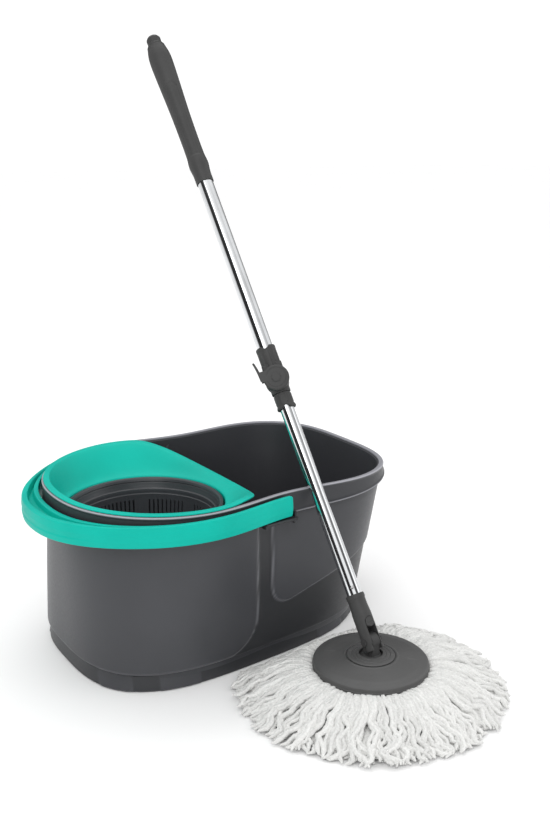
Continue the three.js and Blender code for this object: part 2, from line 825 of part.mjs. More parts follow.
function twistedRod() {
  const steps = Math.round(((rod.top - rod.foot) / rod.lead) * rod.stepsPerTurn);
  const rings = Array.from({ length: steps + 1 }, (_, i) => {
    const z = rod.foot + ((rod.top - rod.foot) * i) / steps;
    const turn = twistAt(z);
    const halfWidth = rod.width / 2;
    const halfThick = rod.thickness / 2;
    const corners = [
      [halfWidth, halfThick],
      [-halfWidth, halfThick],
      [-halfWidth, -halfThick],
      [halfWidth, -halfThick],
    ];
    return corners.map(([x, y]) => {
      const alongX = x * Math.cos(turn) - y * Math.sin(turn);
      const alongY = x * Math.sin(turn) + y * Math.cos(turn);
      return new THREE.Vector3(alongX, alongY, z);
    });
  });
  return skin(rings);
}

const insideLower = lowerTube.radius - lowerTube.wall - gap;
const nutTop = lowerTube.top - driveNut.setIn;
const nutFoot = nutTop - driveNut.thickness;

function driveNutSolid() {
  const body = disc(insideLower, nutFoot, nutTop);
  const middle = (nutFoot + nutTop) / 2;
  const slot = block(driveNut.slotLength, driveNut.slotWidth, driveNut.thickness + 4, 0, 0, middle);
  return cut(body, slot.rotateZ(twistAt(middle)));
}

function clutchRing() {
  const top = nutFoot - gap;
  return tube(insideLower, clutch.boreRadius, top - clutch.height, top);
}

function tubeBushSolid() {
  const outer = upperRadius - upperTube.wall - pressGap;
  const inner = lowerTube.radius + pressGap;
  return tube(outer, inner, tubeBush.place - tubeBush.height, tubeBush.place);
}

function rodAnchorSolid() {
  const outer = upperRadius - upperTube.wall - gap;
  const pocketTop = rod.top + 1;
  return turned([
    [outer, rodAnchor.foot],
    [outer, rodAnchor.top],
    [0, rodAnchor.top],
    [0, pocketTop],
    [rodAnchor.pocketRadius, pocketTop],
    [rodAnchor.pocketRadius, rodAnchor.foot],
    [outer, rodAnchor.foot],
  ]);
}

// ---- The telescopic lock, in the pole's frame turned to face away from the bucket ----
function lockHousing() {
  const sleeve = disc(sleeveRadius, lock.sleeveFoot, lock.sleeveTop);
  const barrel = crossBar(lock.barrelRadius, -lock.barrelFront, lock.barrelBack, 0, lock.place, 24);
  const ribCuts = Array.from({ length: lock.ribs }, (_, i) => {
    const z = lock.sleeveTop - 6 - i * 2 * lock.ribWidth;
    return tube(sleeveRadius + 2, sleeveRadius - lock.ribDepth, z - lock.ribWidth, z);
  });
  const upperBore = disc(upperRadius + gap, upperTube.foot - gap, lock.sleeveTop + 1);
  const lowerBore = disc(lowerTube.radius + runningGap, lock.sleeveFoot - 1, upperTube.foot);
  const pinBore = crossBar(lockPin.radius + gap, -lock.barrelFront - 1, -lowerTube.radius, 0, lock.place);
  const shoeWidth = clampShoe.width + 2 * gap;
  const shoeDepth = clampShoe.thickness + 2 * gap;
  const shoeY = lowerTube.radius + runningGap + clampShoe.thickness / 2;
  const pocket = block(shoeWidth, shoeDepth + 1, clampShoe.height + 2 * gap, 0, shoeY - 0.5, lock.place);
  return cut(join(sleeve, barrel), ...ribCuts, upperBore, lowerBore, pinBore, pocket);
}

function clampShoeSolid() {
  const y = lowerTube.radius + runningGap + clampShoe.thickness / 2;
  const pad = block(clampShoe.width, clampShoe.thickness, clampShoe.height, 0, y, lock.place);
  return cut(pad, disc(lowerTube.radius + gap, lock.place - 30, lock.place + 30, 36));
}

const discFront = -(lock.barrelFront + gap + lever.discThickness);

function lockLever() {
  const back = -(lock.barrelFront + gap);
  const cover = crossBar(lever.discRadius, discFront, back, 0, lock.place, 24);
  const bladeX = -(lock.barrelRadius + gap + 1 + lever.bladeThickness / 2);
  const bladeY = discFront + lever.bladeWidth / 2;
  const bladeZ = lock.place + lever.bladeLength / 2;
  const blade = block(lever.bladeThickness, lever.bladeWidth, lever.bladeLength, bladeX, bladeY, bladeZ);
  const bridgeLength = lever.bladeThickness + 8;
  const bridgeX = bladeX - lever.bladeThickness / 2 + bridgeLength / 2;
  const bridge = block(bridgeLength, lever.discThickness, 12, bridgeX, (discFront + back) / 2, lock.place + 5);
  const bore = crossBar(lockPin.radius + runningGap, discFront - 1, back + 1, 0, lock.place);
  return cut(join(cover, blade, bridge), bore);
}

function lockPinSolid() {
  const pinEnd = -(lowerTube.radius + runningGap + 1);
  const headFoot = discFront - gap;
  const shaft = crossBar(lockPin.radius, headFoot - 1, pinEnd, 0, lock.place);
  const pinHead = crossBar(lockPin.headRadius, headFoot - lockPin.headThickness, headFoot, 0, lock.place);
  return join(shaft, pinHead);
}

// The bush turns with the lower tube's side of the lock and slides along that tube.
function guideBushSolid() {
  const bore = lowerTube.radius + pressGap;
  const outer = bore + guideBush.wall;
  const lip = outer + guideBush.lip;
  const top = lock.sleeveFoot - gap;
  return turned([
    [lip, guideBush.foot],
    [lip, guideBush.foot + guideBush.lipHeight],
    [outer, guideBush.foot + guideBush.lipHeight + 1.5],
    [outer, top],
    [bore, top],
    [bore, guideBush.foot],
    [lip, guideBush.foot],
  ]);
}

// ---- The hand grip ----
function handGrip() {
  const bore = gripBore;
  const { foot, top } = grip;
  return turned([
    [bore + grip.footWall, foot],
    [bore + grip.footWall, foot + 12],
    [bore + grip.collarWall, foot + grip.collarPlace - 4],
    [bore + grip.collarWall, foot + grip.collarPlace + 3],
    [bore + grip.waistWall, foot + grip.collarPlace + 12],
    [bore + grip.waistWall, foot + 96],
    [bore + (grip.waistWall + grip.palmWall) / 2, foot + 150],
    [bore + grip.palmWall, foot + grip.palmPlace - 12],
    [bore + grip.palmWall, foot + grip.palmPlace],
    [bore + grip.neckWall, top],
    [bore, top],
    [bore, foot],
    [bore + grip.footWall, foot],
  ], 24);
}

function gripCapSolid() {
  const foot = grip.top + gap;
  const plugRadius = upperRadius - upperTube.wall - gap;
  const plugFoot = rodAnchor.top + gap;
  const top = foot + gripCap.height;
  return turned([
    [0, plugFoot],
    [plugRadius, plugFoot],
    [plugRadius, foot],
    [gripCapRadius + 0.8, foot],
    [gripCapRadius + 0.8, foot + 3],
    [gripCapRadius, foot + 5],
    [gripCapRadius, top - gripCap.crown],
    [gripCapRadius - 2.5, top - 1.2],
    [gripCapRadius - 6, top],
    [0, top],
  ], 24);
}

// ---- The assembly ----
const teal = [0x00c2b4, 0.3, 0];
const bucketGrey = [0x4a4b50, 0.45, 0];
const darkGrey = [0x35363a, 0.5, 0];
const plateGrey = [0x5a5b5e, 0.42, 0];
const steel = [0xd6d8da, 0.12, 1];
const brassTone = [0xb08d4a, 0.35, 1];
const nylon = [0xe9e6dc, 0.5, 0];
const microfibre = [0xe2e2e0, 0.95, 0];

function piece(name, geometry, [color, roughness, metalness]) {
  const mesh = new THREE.Mesh(geometry, new THREE.MeshStandardMaterial({ color, roughness, metalness }));
  mesh.name = name;
  return mesh;
}

// The pole leans until it rests on the rim's outer edge beside it.
function restLean() {
  const across = -rimSideAt(head.centreX) - head.centreY;
  const up = bucket.height - knuckle.pinHeight;
  const toEdge = Math.atan2(across, up);
  return toEdge - Math.asin((lowerTube.radius + restGap) / Math.hypot(across, up));
}

const set = new THREE.Group();
set.add(
  piece("bucket_shell", bucketShell(), bucketGrey),
  piece("spindle_bush", spindleBushSolid(), brassTone),
  piece("basket_spindle", spindlePin(), steel),
  piece("handle_pivot_front", pivotPinSolid(-1), darkGrey),
  piece("handle_pivot_back", pivotPinSolid(1), darkGrey),
  piece("splash_insert", splashInsert(), teal),
  piece("bail_handle", bailHandle(), teal),
  piece("basket_bowl", basketBowl(), darkGrey),
  piece("basket_rim_ring", basketRimRing(), darkGrey),
  piece("basket_floor", basketFloor(), darkGrey),
  piece("basket_hub", basketHubSolid(), darkGrey),
  piece("spindle_nut", spindleNutSolid(), nylon),
);

const mopHead = new THREE.Group();
mopHead.position.set(head.centreX, head.centreY, 0);
mopHead.add(
  piece("fringe_pad", fringePad(), microfibre),
  piece("pad_ring", padRingSolid(), nylon),
  piece("mop_plate", mopPlate(), plateGrey),
  piece("centre_cap", centreCap(), plateGrey),
  piece("hub_base", hubBaseSolid(), plateGrey),
);
set.add(mopHead);

// The hinge's knuckle and the pole share a heading; only the pole leans.
const headed = new THREE.Group();
headed.rotation.z = heading;
headed.add(piece("hinge_knuckle", knuckleSolid(), plateGrey));
mopHead.add(headed);

const pole = new THREE.Group();
pole.name = "pole";
pole.position.z = knuckle.pinHeight;
pole.rotation.x = -restLean();
pole.add(
  piece("hinge_pin", hingePinSolid(), steel),
  piece("fork_socket", forkSocket(), darkGrey),
  piece("lower_tube", lowerTubeSolid(), steel),
  piece("snap_button", snapButton(), steel),
  piece("button_spring", buttonSpringSolid(), steel),
  piece("drive_nut", driveNutSolid(), nylon),
  piece("clutch_ring", clutchRing(), steel),
  piece("guide_bush", guideBushSolid(), darkGrey),
  piece("tube_bush", tubeBushSolid(), nylon),
  piece("upper_tube", upperTubeSolid(), steel),
  piece("twisted_rod", twistedRod(), steel),
  piece("rod_anchor", rodAnchorSolid(), nylon),
  piece("hand_grip", handGrip(), darkGrey),
  piece("grip_cap", gripCapSolid(), darkGrey),
);
headed.add(pole);

const lockGroup = new THREE.Group();
lockGroup.name = "lock";
lockGroup.rotation.z = camTurn;
lockGroup.add(
  piece("lock_housing", lockHousing(), darkGrey),
  piece("clamp_shoe", clampShoeSolid(), nylon),
  piece("lock_lever", lockLever(), darkGrey),
  piece("lock_pin", lockPinSolid(), steel),
);
pole.add(lockGroup);

export default set;
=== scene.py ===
import json
import math
from functools import partial

import bmesh
import bpy
import numpy as np
from mathutils import Matrix, Vector


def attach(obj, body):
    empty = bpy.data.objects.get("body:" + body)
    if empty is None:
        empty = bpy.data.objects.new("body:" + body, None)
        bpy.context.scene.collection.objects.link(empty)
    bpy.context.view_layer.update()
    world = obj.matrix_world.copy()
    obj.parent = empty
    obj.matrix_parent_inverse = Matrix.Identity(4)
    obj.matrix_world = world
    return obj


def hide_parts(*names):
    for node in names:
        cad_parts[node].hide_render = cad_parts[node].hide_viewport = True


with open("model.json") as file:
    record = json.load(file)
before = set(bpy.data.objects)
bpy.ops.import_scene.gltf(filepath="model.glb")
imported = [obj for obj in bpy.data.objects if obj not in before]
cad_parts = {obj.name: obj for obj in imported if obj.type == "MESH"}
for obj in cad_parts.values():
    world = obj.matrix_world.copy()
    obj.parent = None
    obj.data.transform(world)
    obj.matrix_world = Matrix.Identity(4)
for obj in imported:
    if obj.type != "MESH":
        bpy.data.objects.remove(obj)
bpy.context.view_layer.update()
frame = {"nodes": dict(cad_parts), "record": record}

mm = 0.001
fullTurn = 2 * math.pi


# Small helpers for meshes; shapes are (points, faces) in millimetres

def smoothStep(value, low, high):
    share = np.clip((value - low) / (high - low), 0, 1)
    return share * share * (3 - 2 * share)


def roundedProfile(corners, steps=5):
    # corners are (radius, height, fillet); a fillet of 0 keeps the corner
    soft = []
    count = len(corners)
    for i, corner in enumerate(corners):
        here = np.array(corner[:2], float)
        fillet = corner[2] if len(corner) > 2 else 0
        if fillet == 0:
            soft.append(here)
            continue
        before = np.array(corners[i - 1][:2], float) - here
        after = np.array(corners[(i + 1) % count][:2], float) - here
        lengthBefore, lengthAfter = np.linalg.norm(before), np.linalg.norm(after)
        cosine = np.clip(before @ after / (lengthBefore * lengthAfter), -1, 1)
        half = math.acos(cosine) / 2
        run = min(fillet / math.tan(half), 0.48 * lengthBefore, 0.48 * lengthAfter)
        start, end = here + before / lengthBefore * run, here + after / lengthAfter * run
        for step in range(steps + 1):
            t = step / steps
            soft.append((1 - t) ** 2 * start + 2 * t * (1 - t) * here + t * t * end)
    return np.array(soft)


def loft(rings, looped=False, capped=True):
    # rings is (rings, points, 3); every ring runs the same way round
    rings = np.asarray(rings, float)
    levels, count = rings.shape[:2]
    points = rings.reshape(-1, 3)
    faces = []
    for i in range(levels if looped else levels - 1):
        low, high = i * count, ((i + 1) % levels) * count
        for j in range(count):
            k = (j + 1) % count
            faces.append((low + j, low + k, high + k, high + j))
    if capped and not looped:
        ends = np.array([rings[0].mean(0), rings[-1].mean(0)])
        foot, crown = len(points), len(points) + 1
        points = np.vstack([points, ends])
        top = (levels - 1) * count
        for j in range(count):
            k = (j + 1) % count
            faces.append((foot, k, j))
            faces.append((crown, top + j, top + k))
    return points, faces


def turned(profile, segments=96):
    # an open profile starts and ends on the axis; a closed one never meets it
    profile = np.asarray(profile, float)
    angles = np.arange(segments) * fullTurn / segments
    onAxis = profile[0][0] < 1e-6 and profile[-1][0] < 1e-6
    body = profile[1:-1] if onAxis else profile
    rings = np.stack([
        np.outer(body[:, 0], np.cos(angles)),
        np.outer(body[:, 0], np.sin(angles)),
        np.repeat(body[:, 1:2], segments, 1),
    ], axis=2)
    points, faces = loft(rings, looped=not onAxis, capped=onAxis)
    if onAxis:
        points[-2] = (0, 0, profile[0][1])
        points[-1] = (0, 0, profile[-1][1])
    return points, faces


def block(size, centre, fillet=0):
    half = np.array(size, float) / 2
    corners = [(-half[0], -half[1], fillet), (half[0], -half[1], fillet),
               (half[0], half[1], fillet), (-half[0], half[1], fillet)]
    ring = roundedProfile(corners, 4)
    rings = [np.column_stack([ring, np.full(len(ring), height)]) for height in (-half[2], half[2])]
    points, faces = loft(rings)
    return points + np.array(centre, float), faces


def placed(shape, matrix):
    points, faces = shape
    turn = np.array(matrix.to_3x3())
    return points @ turn.T + np.array(matrix.translation), faces


def newObject(name, shape, place=None):
    points, faces = placed(shape, place) if place else shape
    mesh = bpy.data.meshes.new(name)
    mesh.from_pydata((np.asarray(points) * mm).tolist(), [], [tuple(map(int, f)) for f in faces])
    edit = bmesh.new()
    edit.from_mesh(mesh)
    bmesh.ops.remove_doubles(edit, verts=edit.verts, dist=1e-6)
    bmesh.ops.recalc_face_normals(edit, faces=edit.faces)
    edit.to_mesh(mesh)
    edit.free()
    mesh.shade_smooth()
    obj = bpy.data.objects.new(name, mesh)
    bpy.context.scene.collection.objects.link(obj)
    return obj


def flatten(obj):
    # the evaluated mesh takes the object's place and its modifiers go
    bpy.context.view_layer.update()
    graph = bpy.context.evaluated_depsgraph_get()
    made = bpy.data.meshes.new_from_object(obj.evaluated_get(graph))
    made.name = obj.name
    obj.modifiers.clear()
    old, obj.data = obj.data, made
    bpy.data.meshes.remove(old)
    return obj


def evenShading(obj, angle=32):
    obj.data.set_sharp_from_angle(angle=math.radians(angle))
    weighted = obj.modifiers.new("evenShading", "WEIGHTED_NORMAL")
    weighted.keep_sharp = True
    weighted.weight = 80
    return obj


def moulded(name, solids, cuts=(), place=None, voxel=0.5, softening=3, keep=0.5):
    # solids are joined, cuts are taken away, and the result is remeshed so that its edges are soft
    main = newObject(name, solids[0])
    helpers = []
    for operation, shapes in (("UNION", solids[1:]), ("DIFFERENCE", cuts)):
        for i, shape in enumerate(shapes):
            helper = newObject(f"{name}{operation}{i}", shape)
            helpers.append(helper)
            tool = main.modifiers.new(operation, "BOOLEAN")
            tool.operation, tool.solver, tool.object = operation, "MANIFOLD", helper
    remesh = main.modifiers.new("remesh", "REMESH")
    remesh.mode, remesh.voxel_size = "VOXEL", voxel * mm
    soften = main.modifiers.new("soften", "SMOOTH")
    soften.factor, soften.iterations = 0.5, softening
    if keep < 1:
        thin = main.modifiers.new("thin", "DECIMATE")
        thin.ratio = keep
    flatten(main)
    for helper in helpers:
        bpy.data.objects.remove(helper)
    if place:
        main.data.transform(Matrix.Scale(mm, 4) @ place @ Matrix.Scale(1 / mm, 4))
    main.data.shade_smooth()
    return main


def settle(obj, body, slotName, *nodes):
    obj.data.materials.clear()
    obj.data.materials.append(finishes[slotName])
    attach(obj, body)
    if nodes:
        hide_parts(*nodes)
    return obj


# Small helpers for node trees

def addNode(tree, kind, **settings):
    node = tree.nodes.new(kind)
    for key, value in settings.items():
        setattr(node, key, value)
    return node


def feed(tree, socket, value):
    if isinstance(value, bpy.types.NodeSocket):
        tree.links.new(value, socket)
    else:
        socket.default_value = value


def mathNode(tree, operation, first, second=0.0, third=0.0, clamp=False):
    node = addNode(tree, "ShaderNodeMath", operation=operation, use_clamp=clamp)
    for socket, value in zip(node.inputs, (first, second, third)):
        feed(tree, socket, value)
    return node.outputs[0]


def sums(tree):
    return [partial(mathNode, tree, kind) for kind in ("ADD", "SUBTRACT", "MULTIPLY", "DIVIDE")]


# Finishes

def linear(hexColour):
    parts = [int(hexColour[i:i + 2], 16) / 255 for i in (0, 2, 4)]
    return [c / 12.92 if c <= 0.04045 else ((c + 0.055) / 1.055) ** 2.4 for c in parts]


def startMaterial(name):
    material = bpy.data.materials.new(name)
    material.use_nodes = True
    tree = material.node_tree
    tree.nodes.clear()
    output = addNode(tree, "ShaderNodeOutputMaterial")
    shader = addNode(tree, "ShaderNodeBsdfPrincipled")
    tree.links.new(shader.outputs[0], output.inputs[0])
    return material, tree, shader


def noiseValue(tree, vector, scale, detail=3.0, roughness=0.5, stretch=None):
    if stretch:
        mapping = addNode(tree, "ShaderNodeMapping")
        tree.links.new(vector, mapping.inputs["Vector"])
        mapping.inputs["Rotation"].default_value = stretch[0]
        mapping.inputs["Scale"].default_value = stretch[1]
        vector = mapping.outputs[0]
    noise = addNode(tree, "ShaderNodeTexNoise")
    tree.links.new(vector, noise.inputs["Vector"])
    noise.inputs["Scale"].default_value = scale
    noise.inputs["Detail"].default_value = detail
    noise.inputs["Roughness"].default_value = roughness
    return noise.outputs["Fac"]


def mapRange(tree, value, low, high, toLow, toHigh):
    node = addNode(tree, "ShaderNodeMapRange")
    for socket, item in zip(node.inputs[:5], (value, low, high, toLow, toHigh)):
        feed(tree, socket, item)
    return node.outputs[0]


def mixColour(tree, share, first, second):
    node = addNode(tree, "ShaderNodeMix", data_type="RGBA")
    feed(tree, node.inputs["Factor"], share)
    for socket, value in ((node.inputs[6], first), (node.inputs[7], second)):
        feed(tree, socket, value if isinstance(value, bpy.types.NodeSocket) else (*value, 1))
    return node.outputs[2]


def bumpOn(tree, shader, height, distance, strength):
    bump = addNode(tree, "ShaderNodeBump")
    bump.inputs["Distance"].default_value = distance
    bump.inputs["Strength"].default_value = strength
    tree.links.new(height, bump.inputs["Height"])
    tree.links.new(bump.outputs[0], shader.inputs["Normal"])


def mouldedPlastic(name, look):
    material, tree, shader = startMaterial(name)
    plus, _, times, _ = sums(tree)
    place = addNode(tree, "ShaderNodeTexCoord").outputs["Object"]
    colour = linear(look["colour"])
    lighter = [min(1, c * 1.22 + 0.004) for c in colour]
    darker = [c * 0.86 for c in colour]
    flow = noiseValue(tree, place, look["flowScale"], 4)
    grain = noiseValue(tree, place, look["grainScale"], 2)
    scuffs = noiseValue(tree, place, 60, 5, 0.6, ((0.3, 0.5, 0.2), (1, 9, 5)))
    base = mixColour(tree, mapRange(tree, flow, 0.35, 0.65, 0, 1), darker, colour)
    if "paintedShadeColour" in look:
        # painted shade: a stored per-point tone mixes the base colour towards a darker shade colour on
        # recessed and shaded parts
        tone = addNode(tree, "ShaderNodeAttribute", attribute_name="paintedShadeTone").outputs["Fac"]
        base = mixColour(tree, tone, linear(look["paintedShadeColour"]), base)
        # painted highlight: a stored per-point mask mixes in a light colour as bright lines along edges
        paintedHighlight = addNode(tree, "ShaderNodeAttribute", attribute_name="paintedEdgeHighlight").outputs["Fac"]
        base = mixColour(tree, times(paintedHighlight, 0.78), base, linear(look["edge"]))
    worn = mapRange(tree, scuffs, 0.62, 0.78, 0, look["scuff"])
    edge = addNode(tree, "ShaderNodeNewGeometry").outputs["Pointiness"]
    edgeWear = mapRange(tree, edge, 0.53, 0.62, 0, look["edgeWear"])
    shade = plus(worn, edgeWear, clamp=True)
    tree.links.new(mixColour(tree, shade, base, lighter), shader.inputs["Base Color"])
    rough = mapRange(tree, scuffs, 0.3, 0.75, look["roughness"] - 0.04, look["roughness"] + 0.09)
    tree.links.new(rough, shader.inputs["Roughness"])
    shader.inputs["IOR"].default_value = 1.49
    shader.inputs["Specular IOR Level"].default_value = look["gloss"]
    height = plus(grain, times(flow, 0.6))
    bumpOn(tree, shader, height, look["grainHeight"] * mm, look["grainStrength"])
    return material


def drawnMetal(name, look):
    # fine lines run along the tube; faint smudges change the gloss
    material, tree, shader = startMaterial(name)
    plus, _, times, _ = sums(tree)
    place = addNode(tree, "ShaderNodeTexCoord").outputs["Object"]
    lines = noiseValue(tree, place, look["lineScale"], 3, 0.6, (look["along"], (1, 1, 0.01)))
    smudge = noiseValue(tree, place, 38, 5, 0.6)
    specks = noiseValue(tree, place, 900, 2)
    bright = linear(look["colour"])
    dull = [c * 0.86 for c in bright]
    tree.links.new(mixColour(tree, mapRange(tree, smudge, 0.45, 0.75, 0, 1), bright, dull),
                   shader.inputs["Base Color"])
    shader.inputs["Metallic"].default_value = 1
    rough = mapRange(tree, plus(smudge, times(specks, 0.3)),
                     0.45, 0.95, look["roughness"], look["roughness"] + 0.1)
    tree.links.new(rough, shader.inputs["Roughness"])
    bumpOn(tree, shader, lines, look["lineDepth"] * mm, look["lineStrength"])
    return material


def loopedYarn(name, look):
    material, tree, shader = startMaterial(name)
    plus, minus, times, _ = sums(tree)
    place = addNode(tree, "ShaderNodeTexCoord").outputs["Object"]
    tone = addNode(tree, "ShaderNodeAttribute", attribute_name="yarnTone").outputs["Fac"]
    fuzz = noiseValue(tree, place, look["fuzzScale"], 5, 0.65)
    loops = addNode(tree, "ShaderNodeTexVoronoi")
    loops.inputs["Scale"].default_value = look["loopScale"]
    tree.links.new(place, loops.inputs["Vector"])
    light, shade = linear(look["light"]), linear(look["shade"])
    toned = plus(times(tone, 0.45),
                 times(fuzz, 0.75), clamp=True)
    # painted shade: the colour darkens between the loops, where the bump height below is lowest
    depth = mapRange(tree, loops.outputs["Distance"], 0.1, 0.75, 0, 0.35)
    share = minus(toned, depth, clamp=True)
    tree.links.new(mixColour(tree, share, shade, light), shader.inputs["Base Color"])
    tree.links.new(mapRange(tree, fuzz, 0.3, 0.7, 0.86, 1.0), shader.inputs["Roughness"])
    shader.inputs["Sheen Weight"].default_value = 0.35
    shader.inputs["Sheen Roughness"].default_value = 0.5
    shader.inputs["Specular IOR Level"].default_value = 0.2
    height = plus(times(fuzz, 0.6),
                  minus(1.0, loops.outputs["Distance"]))
    bumpOn(tree, shader, height, look["loopHeight"] * mm, 0.9)
    return material


poleHeading = math.radians(3)
plasticLooks = {
    "teal_plastic": dict(colour="00B4A3", roughness=0.45, gloss=0.16, flowScale=9, grainScale=2600,
                         grainHeight=0.03, grainStrength=0.25, scuff=0.15, edgeWear=0.5),
    # the bucket's second colour is the painted shade of its recesses and the third is the painted highlight
    # of its edges
    "bucket_plastic": dict(colour="3D3E42", paintedShadeColour="2B2C2F", edge="C4C4CC", roughness=0.38,
                           gloss=0.45, flowScale=7, grainScale=2200,
                           grainHeight=0.04, grainStrength=0.3, scuff=0.25, edgeWear=0.9),
    "basket_plastic": dict(colour="414246", roughness=0.34, gloss=0.5, flowScale=14,
                           grainScale=2400,
                           grainHeight=0.03, grainStrength=0.25, scuff=0.2, edgeWear=0.8),
    "mop_plastic": dict(colour="3E3E3E", roughness=0.5, gloss=0.35, flowScale=22, grainScale=1500,
                        grainHeight=0.08, grainStrength=0.5, scuff=0.3, edgeWear=0.7),
    "plate_plastic": dict(colour="525252", roughness=0.46, gloss=0.4, flowScale=16, grainScale=1700,
                          grainHeight=0.06, grainStrength=0.4, scuff=0.3, edgeWear=0.8),
    "nylon": dict(colour="D8D5CB", roughness=0.45, gloss=0.4, flowScale=30, grainScale=1800,
                  grainHeight=0.03, grainStrength=0.3, scuff=0.3, edgeWear=0.4),
}
metalLooks = {
    "chrome_tube": dict(colour="E4E6E8", roughness=0.05, lineScale=1500, lineDepth=0.002,
                        lineStrength=0.04, along=(math.radians(-33.78), 0, 0)),
    "steel": dict(colour="B9B9BA", roughness=0.24, lineScale=1800, lineDepth=0.01,
                  lineStrength=0.4, along=(0, 0, 0)),
    "bush_brass": dict(colour="C79E58", roughness=0.26, lineScale=1600, lineDepth=0.01,
                       lineStrength=0.4, along=(0, 0, 0)),
}
yarnLook = dict(light="ECECEA", shade="CBCBC9", fuzzScale=420, loopScale=330, loopHeight=0.9)

finishes = {name: mouldedPlastic(name, look) for name, look in plasticLooks.items()}
finishes.update({name: drawnMetal(name, look) for name, look in metalLooks.items()})
finishes["microfibre"] = loopedYarn("microfibre", yarnLook)

slotOfNode = {part["node"]: part["material_slot"] for part in frame["record"]["subparts"]}
for nodeName, cadObject in frame["nodes"].items():
    cadObject.data.materials.clear()
    cadObject.data.materials.append(finishes[slotOfNode[nodeName]])
print("finishes ready")


# Camera, floor and lights

view = dict(place=(-0.6544, -1.1657, 0.6770), azimuth=-33.5, elevation=15.3, lens=43.64, sensor=36)
stage = dict(floorSize=40, floorColour=(0.93, 0.93, 0.93), skyLight=1.1)
lamps = {
    "keyLight": dict(place=(-1.7, -1.5, 2.3), aim=(0, -0.1, 0.15), size=(1.3, 1.3), power=15),
    "fillLight": dict(place=(1.9, -1.7, 1.2), aim=(0, 0, 0.2), size=(1.2, 1.6), power=4),
    "topLight": dict(place=(0.2, 0.9, 2.4), aim=(0, 0, 0.2), size=(1.8, 0.9), power=9),
}


def backwards(azimuth, elevation):
    a, e = math.radians(azimuth), math.radians(elevation)
    return Vector((math.sin(a) * math.cos(e), -math.cos(a) * math.cos(e), math.sin(e)))


def makeCamera():
    data = bpy.data.cameras.new("camera")
    data.lens, data.sensor_width = view["lens"], view["sensor"]
    data.clip_end = 60
    camera = bpy.data.objects.new("camera", data)
    camera.location = view["place"]
    camera.rotation_euler = backwards(view["azimuth"], view["elevation"]).to_track_quat("Z",
            "Y").to_euler()
    bpy.context.scene.collection.objects.link(camera)
    bpy.context.scene.camera = camera


def makeLamp(name, lamp):
    data = bpy.data.lights.new(name, "AREA")
    data.shape, data.size, data.size_y = "RECTANGLE", *lamp["size"]
    data.energy = lamp["power"]
    obj = bpy.data.objects.new(name, data)
    obj.location = lamp["place"]
    aim = Vector(lamp["place"]) - Vector(lamp["aim"])
    obj.rotation_euler = aim.to_track_quat("Z", "Y").to_euler()
    bpy.context.scene.collection.objects.link(obj)


def makeFloor():
    side = stage["floorSize"] / mm / 2
    floor = newObject("floor", (np.array([(-side, -side, 0), (side, -side, 0), (side, side, 0),
                                          (-side, side, 0)], float), [(0, 1, 2, 3)]))
    material, tree, shader = startMaterial("paleFloor")
    place = addNode(tree, "ShaderNodeTexCoord").outputs["Object"]
    cloudy = mapRange(tree, noiseValue(tree, place, 1.5, 2), 0.3, 0.7, 0, 1)
    pale = stage["floorColour"]
    tree.links.new(mixColour(tree, cloudy, [c * 0.99 for c in pale], pale),
                   shader.inputs["Base Color"])
    shader.inputs["Roughness"].default_value = 0.9
    shader.inputs["Specular IOR Level"].default_value = 0.1
    floor.data.materials.append(material)
    floor.location.z = -0.0004


def makeSky():
    # white all round; what mirrors see also has dark upright panels, as a studio has
    world = bpy.data.worlds.new("studio")
    bpy.context.scene.world = world
    world.use_nodes = True
    tree = world.node_tree
    tree.nodes.clear()
    plus, _, _, over = sums(tree)
    output = addNode(tree, "ShaderNodeOutputWorld")
    sky = addNode(tree, "ShaderNodeBackground")
    tree.links.new(sky.outputs[0], output.inputs[0])
    sky.inputs["Strength"].default_value = stage["skyLight"]
    direction = addNode(tree, "ShaderNodeSeparateXYZ")
    tree.links.new(addNode(tree, "ShaderNodeTexCoord").outputs["Generated"], direction.inputs[0])
    around = over(mathNode(tree, "ARCTAN2", direction.outputs[1], direction.outputs[0]),
                  fullTurn)
    share = mathNode(tree, "FRACT", plus(around, 1.0))
    panels = addNode(tree, "ShaderNodeValToRGB")
    ramp = panels.color_ramp
    ramp.interpolation = "LINEAR"
    for place, tone in panelTones:
        stop = ramp.elements.new(place)
        stop.color = (tone, tone, tone, 1)
    ramp.elements.remove(ramp.elements[0])
    tree.links.new(share, panels.inputs[0])
    low = mapRange(tree, direction.outputs[2], 0.55, 0.9, 0, 1)
    panelled = mixColour(tree, low, panels.outputs[0], (1, 1, 1))
    mirror = addNode(tree, "ShaderNodeLightPath").outputs["Is Glossy Ray"]
    tree.links.new(mixColour(tree, mirror, (1, 1, 1), panelled), sky.inputs["Color"])


# how bright the studio's walls are, by share of a turn from +X towards +Y
panelTones = [(0.0, 0.5), (0.04, 0.6), (0.08, 0.1), (0.2, 0.05), (0.26, 0.5), (0.3, 0.1),
              (0.35, 0.75),
              (0.42, 0.8), (0.45, 0.03), (0.59, 0.02), (0.615, 1.0), (0.725, 1.0), (0.745, 0.03),
              (0.86, 0.02), (0.89, 0.8), (0.96, 0.8)]

makeCamera()
makeFloor()
for lampName, lamp in lamps.items():
    makeLamp(lampName, lamp)
makeSky()
bpy.context.scene.view_settings.view_transform = "Standard"
print("camera, floor and lights ready")


# The bucket's outline, as in the frame

